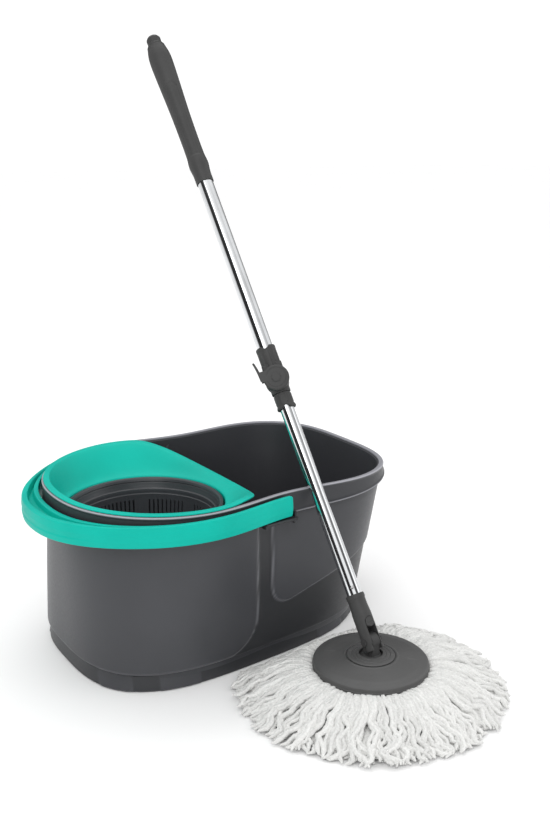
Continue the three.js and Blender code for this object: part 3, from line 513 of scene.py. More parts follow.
rimShape = dict(halfLength=242, noseLength=226, halfWidth=183, power=3.3, nosePower=2.2,
                taper=-0.03,
                waistDepth=0.15, waistX=38, waistSpan=107, centreX=2)
baseShape = dict(halfLength=218, noseLength=215, halfWidth=150, power=3.25, nosePower=3,
                 taper=-0.11,
                 waistDepth=0, waistX=38, waistSpan=107, centreX=-5)
bucket = dict(height=236, wall=2.6, floor=3, bandFoot=206, bandRise=16, bandFlare=2.8, rimWidth=4.6,
              seatDepth=3.5, seatWidth=2.4, ledgeStep=7, plinthHeight=22, plinthStep=3, around=480)


def widthAt(shape, x):
    pinch = 1 - shape["waistDepth"] * np.exp(-(((x - shape["waistX"]) / shape["waistSpan"]) ** 2))
    return shape["halfWidth"] * (1 + shape["taper"] * x / shape["halfLength"]) * pinch


def grownShape(shape, offset):
    return dict(shape, halfLength=shape["halfLength"] + offset,
                noseLength=shape["noseLength"] + offset,
                halfWidth=shape["halfWidth"] + offset)


def outline(shape, angles, offset=0):
    # the nose, towards -X, is rounder than the other end
    grown = grownShape(shape, offset)
    nose = np.cos(angles) < 0
    power = 2 / np.where(nose, grown["nosePower"], grown["power"])
    length = np.where(nose, grown["noseLength"], grown["halfLength"])
    x = length * np.sign(np.cos(angles)) * np.abs(np.cos(angles)) ** power
    across = np.sign(np.sin(angles)) * np.abs(np.sin(angles)) ** power
    return np.column_stack([grown["centreX"] + x, across * widthAt(grown, x)])


def evenAngles(shape, count):
    # angles that space the points of the outline evenly
    fine = np.linspace(0, fullTurn, 20001)
    points = outline(shape, fine)
    travelled = np.concatenate([[0], np.cumsum(np.linalg.norm(np.diff(points, axis=0), axis=1))])
    return np.interp(np.arange(count) * travelled[-1] / count, travelled, fine)


def blendShapes(low, high, share):
    return {key: low[key] + (high[key] - low[key]) * share for key in low}


bodyTop = grownShape(rimShape, -bucket["ledgeStep"])
aroundAngles = evenAngles(rimShape, bucket["around"])


def bodyAt(z):
    return blendShapes(baseShape, bodyTop, z / bucket["bandFoot"])


def outwards(ring):
    along = np.roll(ring, -1, 0) - np.roll(ring, 1, 0)
    normal = np.column_stack([along[:, 1], -along[:, 0]])
    return normal / np.linalg.norm(normal, axis=1, keepdims=True)


def withHeight(ring, z):
    return np.column_stack([ring, np.broadcast_to(z, len(ring))])


# The bucket: two raised panels on each side, a plinth with pads, a band and a rolled rim

panels = dict(noseEdge=-12, noseFoot=25, noseRound=52, farEdge=13, farFoot=72, farRise=0.27,
              farRound=34, depth=2.8, soft=4.5)
plinthPads = dict(spans=((-209, -181), (-150, -98), (98, 150), (181, 209)), out=1.3, soft=1.6)


def roundedCorner(dx, dz, radius):
    # how far inside two edges with a rounded corner between them
    plain = np.minimum(dx, dz)
    inCorner = (dx < radius) & (dz < radius)
    cornered = radius - np.hypot(radius - dx, radius - dz)
    return np.where(inCorner, cornered, plain)


def panelRelief(x, z):
    nose = roundedCorner(panels["noseEdge"] - x, z - panels["noseFoot"], panels["noseRound"])
    farFoot = panels["farFoot"] + panels["farRise"] * (x - panels["farEdge"])
    far = roundedCorner(x - panels["farEdge"], z - farFoot, panels["farRound"])
    inside = np.maximum(nose, far)
    return panels["depth"] * smoothStep(inside, -panels["soft"] / 2, panels["soft"] / 2)


def padRelief(x, z):
    raised = np.zeros_like(x)
    for low, high in plinthPads["spans"]:
        edge = np.minimum(x - low, high - x)
        raised = np.maximum(raised, smoothStep(edge, -plinthPads["soft"] / 2,
                                               plinthPads["soft"] / 2))
    tilt = 1 - 1.7 * z / bucket["plinthHeight"]
    return plinthPads["out"] * (raised - 0.4) * tilt


def bodyRing(z, relief=None):
    ring = outline(bodyAt(z), aroundAngles)
    if relief is not None:
        ring = ring + outwards(ring) * relief(ring[:, 0], z)[:, None]
    return withHeight(ring, z)


def rimRing(offset, z):
    return withHeight(outline(rimShape, aroundAngles, offset), z)


def bandRing(offset, lift):
    ring = outline(rimShape, aroundAngles, offset)
    rise = bucket["bandRise"] * np.maximum(0, ring[:, 0] / rimShape["halfLength"]) ** 2
    return withHeight(ring, bucket["bandFoot"] + rise + lift)


def bucketShell():
    b = bucket
    baseRing = lambda offset, z: withHeight(outline(baseShape, aroundAngles, offset), z)
    rings = [baseRing(-60, 1.6), baseRing(-20, 1.6), baseRing(-17, 1.4), baseRing(-15.5, 0.3),
             baseRing(-14.5, 0), baseRing(-3, 0), baseRing(-1.4, 0.4)]
    for z in np.linspace(1.5, b["plinthHeight"] - 0.8, 12):
        ring = outline(baseShape, aroundAngles, -b["plinthStep"] * (z / b["plinthHeight"]) ** 1.3)
        ring = ring + outwards(ring) * padRelief(ring[:, 0], z)[:, None]
        rings.append(withHeight(ring, z))
    for inset, z in ((-b["plinthStep"] - 0.6, b["plinthHeight"]), (-2.2, b["plinthHeight"] + 0.9),
                     (-0.5, b["plinthHeight"] + 1.4)):
        rings.append(withHeight(outline(bodyAt(z), aroundAngles, inset), z))
    for z in np.linspace(b["plinthHeight"] + 2.4, b["bandFoot"] - 4, 84):
        rings.append(bodyRing(z, panelRelief))
    topRing = bodyRing(b["bandFoot"] - 4, panelRelief)
    for share in (0.5, 0.85):
        blended = topRing + (bandRing(-b["ledgeStep"] + 2.4, 0) - topRing) * share
        rings.append(blended)
    flare = b["bandFlare"]
    rings += [bandRing(-b["ledgeStep"] + 3.2, -0.4), bandRing(-2, -0.7),
              bandRing(flare - 1.2, -0.6),
              bandRing(flare - 0.3, -0.1), bandRing(flare, 0.9), bandRing(flare - 0.1, 2.2),
              bandRing(flare - 0.9, 3.2), bandRing(flare - 1.2, 4.4)]
    foot = rings[-1]
    neck = rimRing(0.1, b["height"] - 5)
    for share in np.linspace(0.08, 0.92, 8):
        rings.append(foot + (neck - foot) * share)
    rings += [neck, rimRing(0.25, b["height"] - 4), rimRing(0.95, b["height"] - 3.1),
              rimRing(1.25, b["height"] - 2), rimRing(1.1, b["height"] - 1),
              rimRing(0.5, b["height"] - 0.3),
              rimRing(-0.4, b["height"]), rimRing(-b["rimWidth"] + 1, b["height"]),
              rimRing(-b["rimWidth"] + 0.2, b["height"] - 0.4),
              rimRing(-b["rimWidth"], b["height"] - 1.2)]
    seat = b["height"] - b["seatDepth"]
    inner = b["rimWidth"] + b["seatWidth"]
    rings += [rimRing(-b["rimWidth"], seat + 0.4), rimRing(-b["rimWidth"] - 0.4, seat),
              rimRing(-inner + 1, seat), rimRing(-inner + 0.2, seat - 0.4),
              rimRing(-inner, seat - 1.6)]
    wallTop = b["bandFoot"] - 4
    wallRing = lambda z, extra=0: withHeight(outline(bodyAt(z), aroundAngles, -b["wall"] - extra),
                                             z)
    start, end = rings[-1], wallRing(wallTop)
    for share in (0.3, 0.65, 1):
        rings.append(start + (end - start) * share)
    for z in np.linspace(wallTop, b["floor"] + 12, 22)[1:]:
        rings.append(wallRing(z))
    for bend in np.radians([20, 40, 60, 78, 90]):
        z = b["floor"] + 12 * (1 - math.sin(bend))
        rings.append(wallRing(z, 12 * (1 - math.cos(bend))))
    for inset in (-40, -90):
        rings.append(withHeight(outline(baseShape, aroundAngles, inset), b["floor"]))
    shell = newObject("bucketShell", loft(rings))
    storeTones(shell)
    return evenShading(shell, 40)


def storeTones(shell):
    # painted light and shade: panels and pads keep their full colour, the ground between them, the plinth,
    # the band and the inside are painted darker as shade, and painted highlights run along the rim's crest,
    # the band's lower edge and the panels' edges
    vertices = shell.data.vertices
    places, normals = np.empty(len(vertices) * 3), np.empty(len(vertices) * 3)
    vertices.foreach_get("co", places)
    vertices.foreach_get("normal", normals)
    x, y, z = (places.reshape(-1, 3) / mm).T
    facing = normals.reshape(-1, 3)
    outside = (facing[:, 0] * x / 1.6 + facing[:, 1] * y) > 0
    panel = panelRelief(x, z) / panels["depth"]
    pad = np.zeros_like(x)
    for low, high in plinthPads["spans"]:
        pad = np.maximum(pad, smoothStep(np.minimum(x - low, high - x), -1.5, 1.5))
    foot, height = bucket["plinthHeight"] + 1.4, bucket["height"]
    bandEdge = bucket["bandFoot"] + bucket["bandRise"] * np.maximum(0,
            x / rimShape["halfLength"]) ** 2
    # painted shade: the plinth between the pads, the band and the recessed ground are darker than the panels
    # and pads, and the inside is a little darker
    tone = np.where(z < foot, 0.1 + 1.5 * pad, np.where(z > bandEdge - 2, 0.6, panel))
    # painted highlights: bright lines on the rim's crest, the band's lower edge and the panels' edges
    crest = np.exp(-((z - height + 0.7) / 0.9) ** 2)
    band = 0.7 * np.exp(-((z - bandEdge - 0.4) / 0.9) ** 2)
    panelEdge = np.where((z > foot) & (z < bandEdge - 6), 0.9 * panel * (1 - panel), 0)
    paintedHighlight = np.maximum(np.maximum(crest, band), panelEdge)
    for name, values in (("paintedShadeTone", tone), ("paintedEdgeHighlight", paintedHighlight)):
        layer = shell.data.attributes.new(name, "FLOAT", "POINT")
        layer.data.foreach_set("value", np.where(outside, values,
                                                 np.where(z > height - 2, crest, 0.75))
                               if name == "paintedShadeTone" else np.where(outside | (z > height - 2),
                values, 0))


settle(bucketShell(), "bucket", "bucket_plastic", "bucket_shell")

spindlePost = dict(x=-95, topRadius=12, footRadius=20, top=99, ribReach=38, ribHeight=46, rib=4,
                   boreRadius=6.2)


def spindlePostPiece():
    p = spindlePost
    centre = Matrix.Translation((p["x"], 0, 0))
    column = placed(turned(roundedProfile([
        (0, 2), (p["footRadius"], 2, 0), (p["footRadius"] - 2, 6, 3), (p["topRadius"], 17, 8),
        (p["topRadius"], p["top"], 1), (0, p["top"])]), 72), centre)
    ribs = []
    for angle in (0, math.pi / 2):
        rib = block((2 * p["ribReach"], p["rib"], p["ribHeight"]), (0, 0, 2 + p["ribHeight"] / 2),
                    1)
        ribs.append(placed(rib, centre @ Matrix.Rotation(angle, 4, "Z")))
    bore = placed(turned([(0, 63), (p["boreRadius"], 63), (p["boreRadius"], 110), (0, 110)], 48),
                  centre)
    return moulded("spindlePost", [column, *ribs], [bore], voxel=0.9, keep=0.35)


settle(spindlePostPiece(), "bucket", "bucket_plastic")

shelf = dict(length=50, depth=14.5, height=4, x=18, top=203.6)


def shelfPiece(name, side):
    # a rounded bracket with a web under each end
    s = shelf
    inner = widthAt(rimShape, s["x"] - rimShape["centreX"]) - 1.5
    y = side * (inner + s["depth"] / 2)
    solids = [block((s["length"], s["depth"], s["height"]), (s["x"], y, s["top"] - s["height"] / 2),
                    1.6)]
    for end in (-1, 1):
        x = s["x"] + end * (s["length"] / 2 - 3)
        web = block((3, s["depth"] * 0.7, 7), (x, side * (inner + s["depth"] * 0.3), s["top"] - 6),
                    0.8)
        solids.append(web)
    lug = block((4, s["depth"] - 3, 9), (s["x"] + s["length"] / 2 - 2.2, y - side * 1.5,
                                         s["top"] + 2), 1.2)
    solids.append(lug)
    return moulded(name, solids, voxel=0.45, keep=0.6)


for shelfName, shelfSide in (("handleShelfFront", -1), ("handleShelfBack", 1)):
    settle(shelfPiece(shelfName, shelfSide), "bucket", "bucket_plastic")
print("bucket ready")


# The splash insert: a dished sheet with a round opening and a collar

opening = dict(x=-95, radius=109, z=201, collar=13)
insert = dict(thickness=2.4, lip=8, fitGap=1.2, edgeInset=0.8, edgeX=40, edgeBow=64, edgeDrop=32.5,
              soft=14,
              around=420)


def insertEdgeX(y):
    return insert["edgeX"] - insert["edgeBow"] * (y / (0.9 * rimShape["halfWidth"])) ** 2


def softReach(angle):
    # distance from the opening's centre to the rim or to the free edge, eased where they meet
    limit = grownShape(rimShape, -insert["edgeInset"])

    def inRim(x, y):
        along = x - limit["centreX"]
        length, power = ("noseLength", "nosePower") if along < 0 else ("halfLength", "power")
        side = abs(y) / widthAt(limit, along)
        return (abs(along) / limit[length]) ** limit[power] + side ** limit[power] < 1

    def inEdge(x, y):
        return x < insertEdgeX(y)

    reaches = []
    for inside in (inRim, inEdge):
        near, far = opening["radius"], 600
        for _ in range(30):
            reach = (near + far) / 2
            x, y = opening["x"] + reach * math.cos(angle), reach * math.sin(angle)
            near, far = (reach, far) if inside(x, y) else (near, reach)
        reaches.append(near)
    nearer, farther = sorted(reaches)
    soft = insert["soft"]
    return nearer - soft * math.log(1 + math.exp(-(farther - nearer) / soft))


def insertTop(x, y):
    seated = bucket["height"] + 0.3 + insert["thickness"]
    edge = insertEdgeX(y)
    toEdge = smoothStep(x, edge - 30, edge)
    seats = (widthAt(rimShape, x - rimShape["centreX"]) - bucket["rimWidth"] - bucket["seatWidth"]
             - insert["fitGap"])
    return seated - insert["edgeDrop"] * toEdge * max(0, 1 - (y / seats) ** 2)


def splashInsert():
    thick = insert["thickness"]
    columns = []
    for angle in np.arange(insert["around"]) * fullTurn / insert["around"]:
        c, s = math.cos(angle), math.sin(angle)
        reach = softReach(angle)
        topAt = lambda radius: insertTop(opening["x"] + radius * c, radius * s)
        edgeZ = topAt(reach)
        lipStart = max(reach - insert["lip"], opening["radius"] + thick + 4)
        section = [(reach - 1.2, edgeZ - thick), (reach - 0.3, edgeZ - thick + 0.35),
                   (reach, edgeZ - thick / 2), (reach - 0.25, edgeZ - 0.4), (reach - 1.1, edgeZ)]
        foot = opening["radius"] + 5
        for share in np.linspace(1, 0, 15):
            radius = foot + (lipStart - foot) * share
            bowl = 0.62 * share + 0.38 * share * share * (3 - 2 * share)
            flatter = smoothStep(share, 0.82, 1) * 0.25
            z = opening["z"] + 1.2 + (edgeZ - opening["z"] - 1.2) * (bowl + flatter * (1 - bowl))
            section.append((radius, z))
        section += [(opening["radius"] + 3, opening["z"] + 0.55),
                    (opening["radius"] + 1.3, opening["z"] - 0.3),
                    (opening["radius"] + 0.3, opening["z"] - 1.6),
                    (opening["radius"], opening["z"] - 3.2),
                    (opening["radius"], opening["z"] - opening["collar"] + 0.5),
                    (opening["radius"] + 0.5, opening["z"] - opening["collar"]),
                    (opening["radius"] + thick, opening["z"] - opening["collar"]),
                    (opening["radius"] + thick, opening["z"] - thick - 3),
                    (opening["radius"] + thick + 3, opening["z"] - thick)]
        for share in np.linspace(0.1, 1, 8):
            radius = foot + (lipStart - foot) * share
            bowl = 0.62 * share + 0.38 * share * share * (3 - 2 * share)
            z = opening["z"] + 1.2 + (edgeZ - opening["z"] - 1.2) * bowl - thick
            section.append((radius, min(z, edgeZ - thick)))
        columns.append([(opening["x"] + r * c, r * s, z) for r, z in section])
    rings = np.array(columns).transpose(1, 0, 2)
    return evenShading(newObject("splashInsert", loft(rings, looped=True)), 40)


settle(splashInsert(), "insert", "teal_plastic", "splash_insert")
print("insert ready")


# The bail handle: a strap round the nose, channelled on top where the hand goes

bail = dict(pivotX=20, endReach=12, pivotZ=219, side=8, nose=27, height=27, noseDrop=8, clearance=3,
            stations=240,
            channel=9, outerRidge=8, innerRidge=6, crease=0.8)


def bailSection(share):
    b = bail
    shape = grownShape(rimShape, bucket["bandFlare"] + b["clearance"])
    pivot = ((b["pivotX"] + b["endReach"] - shape["centreX"]) / shape["halfLength"]) ** (shape["power"] / 2)
    start = math.acos(pivot)
    angle = np.array([start + share * 2 * (math.pi - start)])
    nose = math.sin(math.pi * share) ** 8
    broad = math.sin(math.pi * share) ** 3
    thick = b["side"] + (b["nose"] - b["side"]) * nose
    near = outline(shape, angle)[0]
    far = outline(grownShape(shape, thick), angle)[0]
    drop = b["noseDrop"] * math.sin(math.pi * share) ** 2
    foot = b["pivotZ"] - b["height"] / 2 - drop
    top = b["pivotZ"] + b["height"] / 2 - drop
    tall = top - foot
    dip = b["channel"] * smoothStep(thick, 8.6, 15)
    outerRidge = min(b["outerRidge"], 0.4 * thick)
    innerRidge = min(b["innerRidge"], 0.3 * thick)
    fold = b["crease"] * smoothStep(broad, 0.55, 0.85)
    corners = [(0, foot, 1.2), (thick - 0.6, foot, 1.6), (thick + 0.5, foot + 0.3 * tall, 6),
               (thick + 0.5 - fold, foot + 0.36 * tall, 1.2), (thick + 0.4, foot + 0.62 * tall, 6),
               (thick - 0.6, top, 2.2), (thick - outerRidge, top + 0.4, 2),
               (thick - outerRidge - 1.6, top - dip, 2),
               (innerRidge + 1.6, top - dip - 0.3, 2), (innerRidge, top - 1.2 * nose, 1.6),
               (0, top - 1.5 * nose, 1.2)]
    section = roundedProfile(corners, 4)
    flat = near + (far - near) * (section[:, :1] / thick)
    return np.column_stack([flat, section[:, 1]])


def bailHandle():
    shares = np.linspace(0, 1, bail["stations"] + 1)
    rings = [bailSection(share) for share in shares]
    middle = lambda ring: ring.mean(0)
    for end in (0, -1):
        ring, centre = rings[end], middle(rings[end])
        out = ring - centre
        step = middle(rings[end]) - middle(rings[1 if end == 0 else -2])
        step /= np.linalg.norm(step)
        tips = []
        for lean in np.radians([18, 38, 58, 76]):
            # the end closes as a quarter round
            grown = centre + out * (1 - 0.22 * (1 - math.cos(lean))) + step * 2.4 * math.sin(lean)
            tips.append(grown)
        rings = list(reversed(tips)) + rings if end == 0 else rings + tips
    return evenShading(newObject("bailHandle", loft(rings)), 50)


settle(bailHandle(), "bail", "teal_plastic", "bail_handle")
print("bail handle ready")

# The wringing basket, with slots cut round its wall in groups

basket = dict(lipTop=195, wallTop=98, wallFoot=92, wall=2.4, floorZ=105, groups=8, slots=9,
              slotWidth=2.2,
              slotPitch=6.4, slotTop=170, slotFoot=126, cutDepth=16, wallMiddle=3)
lipRing = dict(outer=106.5, inner=100, foot=195.3, top=200.3)


def slotTree(sizes):
    # takes a bowl and cuts groups of upright slots round it
    tree = bpy.data.node_groups.new("basketSlots", "GeometryNodeTree")
    face = tree.interface
    plus, minus, times, over = sums(tree)
    face.new_socket("Bowl", in_out="INPUT", socket_type="NodeSocketGeometry")
    ids = {}
    for label, kind in (("Groups", "NodeSocketInt"), ("Slots Per Group", "NodeSocketInt"),
                        ("Slot Width", "NodeSocketFloat"), ("Slot Height", "NodeSocketFloat"),
                        ("Slot Pitch", "NodeSocketFloat"), ("Slot Centre Height",
                                                            "NodeSocketFloat"),
                        ("Wall Radius", "NodeSocketFloat"), ("Centre X", "NodeSocketFloat"),
                        ("Finish", "NodeSocketMaterial")):
        ids[label] = face.new_socket(label, in_out="INPUT", socket_type=kind).identifier
    face.new_socket("Mesh", in_out="OUTPUT", socket_type="NodeSocketGeometry")
    given = addNode(tree, "NodeGroupInput").outputs
    result = addNode(tree, "NodeGroupOutput").inputs
    # one point for each slot
    total = times(given["Groups"], given["Slots Per Group"])
    points = addNode(tree, "GeometryNodePoints")
    feed(tree, points.inputs["Count"], total)
    index = addNode(tree, "GeometryNodeInputIndex").outputs[0]
    group = mathNode(tree, "FLOOR", over(index, given["Slots Per Group"]))
    inGroup = minus(index, times(group, given["Slots Per Group"]))
    halfGroup = times(minus(given["Slots Per Group"], 1.0), 0.5)
    along = times(minus(inGroup, halfGroup), given["Slot Pitch"])
    angle = plus(over(along, given["Wall Radius"]),
                 times(over(group, given["Groups"]), fullTurn))
    spot = addNode(tree, "ShaderNodeCombineXYZ")
    feed(tree, spot.inputs[0], plus(given["Centre X"], times(mathNode(tree, "COSINE", angle),
                                                             given["Wall Radius"])))
    feed(tree, spot.inputs[1], times(mathNode(tree, "SINE", angle), given["Wall Radius"]))
    feed(tree, spot.inputs[2], given["Slot Centre Height"])
    feed(tree, points.inputs["Position"], spot.outputs[0])
    # each cutter is a narrow upright block that passes through the wall
    cutter = addNode(tree, "GeometryNodeMeshCube")
    size = addNode(tree, "ShaderNodeCombineXYZ")
    feed(tree, size.inputs[0], sizes["cutDepth"] * mm)
    feed(tree, size.inputs[1], given["Slot Width"])
    feed(tree, size.inputs[2], given["Slot Height"])
    feed(tree, cutter.inputs["Size"], size.outputs[0])
    turnZ = addNode(tree, "ShaderNodeCombineXYZ")
    feed(tree, turnZ.inputs[2], angle)
    toTurn = addNode(tree, "FunctionNodeEulerToRotation")
    feed(tree, toTurn.inputs[0], turnZ.outputs[0])
    spread = addNode(tree, "GeometryNodeInstanceOnPoints")
    feed(tree, spread.inputs["Points"], points.outputs[0])
    feed(tree, spread.inputs["Instance"], cutter.outputs["Mesh"])
    feed(tree, spread.inputs["Rotation"], toTurn.outputs[0])
    real = addNode(tree, "GeometryNodeRealizeInstances")
    feed(tree, real.inputs[0], spread.outputs[0])
    carve = addNode(tree, "GeometryNodeMeshBoolean", operation="DIFFERENCE", solver="MANIFOLD")
    feed(tree, carve.inputs[0], given["Bowl"])
    feed(tree, carve.inputs[1], real.outputs[0])
    whole = addNode(tree, "GeometryNodeRealizeInstances")
    feed(tree, whole.inputs[0], carve.outputs[0])
    finish = addNode(tree, "GeometryNodeSetMaterial")
    feed(tree, finish.inputs["Geometry"], whole.outputs[0])
    feed(tree, finish.inputs["Material"], given["Finish"])
    feed(tree, result[0], finish.outputs[0])
    values = {"Groups": sizes["groups"], "Slots Per Group": sizes["slots"],
              "Slot Width": sizes["slotWidth"] * mm,
              "Slot Height": (sizes["slotTop"] - sizes["slotFoot"]) * mm,
              "Slot Pitch": sizes["slotPitch"] * mm,
              "Slot Centre Height": (sizes["slotTop"] + sizes["slotFoot"]) / 2 * mm,
              "Wall Radius": (sizes["wallTop"] - sizes["wallMiddle"]) * mm,
              "Centre X": opening["x"] * mm,
              "Finish": finishes["basket_plastic"]}
    return tree, {ids[label]: value for label, value in values.items()}


def basketBowl():
    b = basket
    top, floor = b["lipTop"], b["floorZ"]
    rIn, rFoot = b["wallTop"] - b["wall"], b["wallFoot"] - b["wall"]
    profile = roundedProfile([
        (b["wallFoot"] - 9, floor, 3), (b["wallFoot"], floor + 9, 6), (b["wallTop"], top - 11, 4),
        (101.5, top - 2.8, 1), (106.3, top - 2.8, 0.8), (106.3, top, 0.6), (100.5, top - 0.2, 2),
        (99.2, top - 4.5, 2.5), (97.6, top - 9, 2), (rIn + 0.4, top - 9.8, 0.6),
                              (rIn, top - 12, 0.8),
        (rIn - 0.2, top - 16, 1), (rIn - 1.4, top - 16.8, 0.4), (rIn - 1.6, top - 22, 1),
        (rFoot, floor + 10, 6), (rFoot - 9, floor + 2.7, 3), (rFoot - 18.6, floor + 2.7, 0.4),
        (rFoot - 18.6, floor, 0.4)], 5)
    centre = Matrix.Translation((opening["x"], 0, 0))
    obj = newObject("basketBowl", turned(profile, 288), centre)
    tree, values = slotTree(b)
    cutSlots = obj.modifiers.new("cutSlots", "NODES")
    cutSlots.node_group = tree
    for identifier, value in values.items():
        cutSlots[identifier] = value
    flatten(obj)
    return evenShading(obj, 28)


def basketLip():
    r = lipRing
    profile = roundedProfile([
        (r["outer"], r["foot"], 0.5), (r["outer"], r["top"], 1.6),
                              (r["outer"] - 3.4, r["top"] + 0.2, 1),
        (r["inner"] + 1.4, r["top"] - 1.4, 1.6), (r["inner"], r["foot"], 0.5)], 6)
    return evenShading(newObject("basketLip", turned(profile, 256),
                                 Matrix.Translation((opening["x"], 0, 0))))


settle(basketBowl(), "basket", "basket_plastic", "basket_bowl")
settle(basketLip(), "basket", "basket_plastic", "basket_rim_ring")

drivePlate = dict(radius=70.6, thickness=3, ribHeight=6.5, ribs=6, hubHole=15.3, drains=12,
                  drainRadius=5,
                  drainReach=55.6, rings=(30, 62), ribLength=44, rib=2.6, ribMiddle=42)
hub = dict(radius=15, height=26, bore=4.6, flange=21, fins=12, fin=(4, 1.6, 16), finMiddle=9)


def basketFloor():
    p, z = drivePlate, basket["floorZ"]
    centre = Matrix.Translation((opening["x"], 0, 0))
    solids = [placed(turned(roundedProfile([(p["hubHole"], z), (p["radius"], z, 0.6),
                                            (p["radius"], z + p["thickness"], 0.8),
                                            (p["hubHole"], z + p["thickness"], 0.4)]), 160),
                     centre)]
    for reach in p["rings"]:
        solids.append(placed(turned([(reach - 1, z + 1), (reach + 1, z + 1), (reach + 0.8, z + 5.2),
                                     (reach - 0.8, z + 5.2)], 120), centre))
    for i in range(p["ribs"]):
        rib = block((p["ribLength"], p["rib"], p["ribHeight"]),
                    (p["ribMiddle"], 0, z + 0.5 + p["ribHeight"] / 2), 0.8)
        solids.append(placed(rib, centre @ Matrix.Rotation(i * fullTurn / p["ribs"], 4, "Z")))
    drains = []
    for i in range(p["drains"]):
        drain = turned([(0, z - 2), (p["drainRadius"], z - 2), (p["drainRadius"], z + 12),
                        (0, z + 12)], 32)
        angle = (i + 0.5) * fullTurn / p["drains"]
        spot = Matrix.Translation((p["drainReach"] * math.cos(angle),
                                   p["drainReach"] * math.sin(angle), 0))
        drains.append(placed(drain, centre @ spot))
    return moulded("basketFloor", solids, drains, voxel=0.8, keep=0.4, softening=2)


def basketHub():
    z = basket["floorZ"]
    profile = roundedProfile([
        (hub["flange"], z - 2, 0.4), (hub["flange"], z - 0.3, 0.4), (hub["radius"], z - 0.3, 0.4),
        (hub["radius"] - 0.8, z + 8, 2), (hub["radius"] - 3, z + hub["height"], 2),
        (hub["bore"], z + hub["height"], 0.6), (hub["bore"], z - 2, 0.4)])
    solids = [turned(profile, 96)]
    for i in range(hub["fins"]):
        fin = block(hub["fin"], (hub["radius"] - 1.2, 0, z + hub["finMiddle"]), 0.5)
        solids.append(placed(fin, Matrix.Rotation(i * fullTurn / hub["fins"], 4, "Z")))
    return moulded("basketHub", [placed(s, Matrix.Translation((opening["x"], 0,
                                                               0))) for s in solids],
                   voxel=0.5, keep=0.4)


settle(basketFloor(), "basket", "basket_plastic", "basket_floor")
settle(basketHub(), "basket", "basket_plastic", "basket_hub")

spindle = dict(radius=4, foot=67, top=141)
spindleNut = dict(radius=8, foot=131.3, height=6)


def onCentre(name, profile, segments=64):
    return evenShading(newObject(name, turned(profile, segments),
                                 Matrix.Translation((opening["x"], 0, 0))))


spindleTop = spindle["top"]
settle(onCentre("spindlePin", roundedProfile([
    (0, spindle["foot"]), (spindle["radius"], spindle["foot"], 0.4),
                                              (spindle["radius"], spindleTop - 6, 0.2),
    (spindle["radius"] - 0.5, spindleTop - 5.6, 0.2), (spindle["radius"] - 0.5, spindleTop - 4.6,
                                                       0.2),
    (spindle["radius"], spindleTop - 4.2, 0.2), (spindle["radius"], spindleTop - 1.4, 1.2),
    (spindle["radius"] - 1.8, spindleTop, 0.8), (0, spindleTop)])), "bucket", "steel",
       "basket_spindle")
nutFoot, nutTop = spindleNut["foot"], spindleNut["foot"] + spindleNut["height"]
settle(onCentre("spindleNut", roundedProfile([
    (spindleNut["radius"], nutFoot, 0.4), (spindleNut["radius"], nutTop - 2, 1.2),
    (spindleNut["radius"] - 2, nutTop, 0.8), (hub["bore"], nutTop, 0.4),
                                              (hub["bore"], nutFoot, 0.4)])),
    "bucket", "nylon", "spindle_nut")
print("basket ready")


# The mop head: plate, cap and knuckle

mopSpot = (76, -282)
headPlace = Matrix.Translation((*mopSpot, 0))
plate = dict(radius=74, foot=30.6, rim=41.6, crown=46.6, wall=3, bore=21, seat=31)
cap = dict(radius=30.5, foot=46.9, top=51.9, bore=15)


def mopPlate():
    p = plate
    outside = [(p["radius"], p["foot"], 0.5), (p["radius"] + 0.2, p["foot"] + 4.5, 0.8),
               (p["radius"] - 0.6, p["foot"] + 5.4, 0.6), (p["radius"] - 0.8, p["rim"] - 1.2, 1.8),
               (p["radius"] - 3.2, p["rim"] + 0.4, 1.8), (p["radius"] * 0.82, p["rim"] + 2.6, 9),
               (p["radius"] * 0.62, p["crown"] - 0.8, 12), (p["seat"] + 4.4, p["crown"] + 0.7, 1.4),
               (p["seat"] + 2.8, p["crown"] + 1.5, 0.9), (p["seat"] + 1.2, p["crown"] + 1.3, 0.6),
               (p["seat"] + 0.2, p["crown"], 0.5)]
    inside = [(p["bore"], p["crown"], 0.5), (p["bore"], p["crown"] - p["wall"], 0.5),
              (p["seat"], p["crown"] - p["wall"], 2), (p["radius"] * 0.7, p["rim"] + 0.5, 6),
              (p["radius"] - p["wall"] - 1, p["rim"] - p["wall"], 2),
              (p["radius"] - p["wall"], p["foot"], 0.5)]
    return evenShading(newObject("mopPlate", turned(roundedProfile(outside + inside, 6), 240),
                                 headPlace))


def centreCap():
    c = cap
    low = c["top"] - 3.1
    profile = roundedProfile([
        (c["radius"] - 0.2, c["foot"], 0.4), (c["radius"], low - 0.4, 0.9),
                              (c["radius"] - 2, low + 0.2, 1),
        (c["radius"] - 5.4, low + 0.6, 0.5), (c["radius"] - 5.9, low + 0.1, 0.3),
                              (c["radius"] - 6.7, low + 0.1, 0.3),
        (c["radius"] - 7.2, low + 0.9, 0.5), (c["radius"] - 10.6, low + 1.3, 0.5),
        (c["radius"] - 11.1, low + 0.9, 0.3), (c["radius"] - 11.7, low + 0.9, 0.3),
        (c["radius"] - 12.2, low + 1.7, 0.6), (c["bore"], low + 2.2, 0.5),
                              (c["bore"], c["foot"], 0.4)], 4)
    return evenShading(newObject("centreCap", turned(profile, 200), headPlace))


settle(mopPlate(), "head", "plate_plastic", "mop_plate")
settle(centreCap(), "head", "plate_plastic", "centre_cap")

knuckle = dict(thickness=12, eye=10.5, foot=17, pin=67, base=43.9, footTop=46.9, bore=3.3)
headed = headPlace @ Matrix.Rotation(poleHeading, 4, "Z")


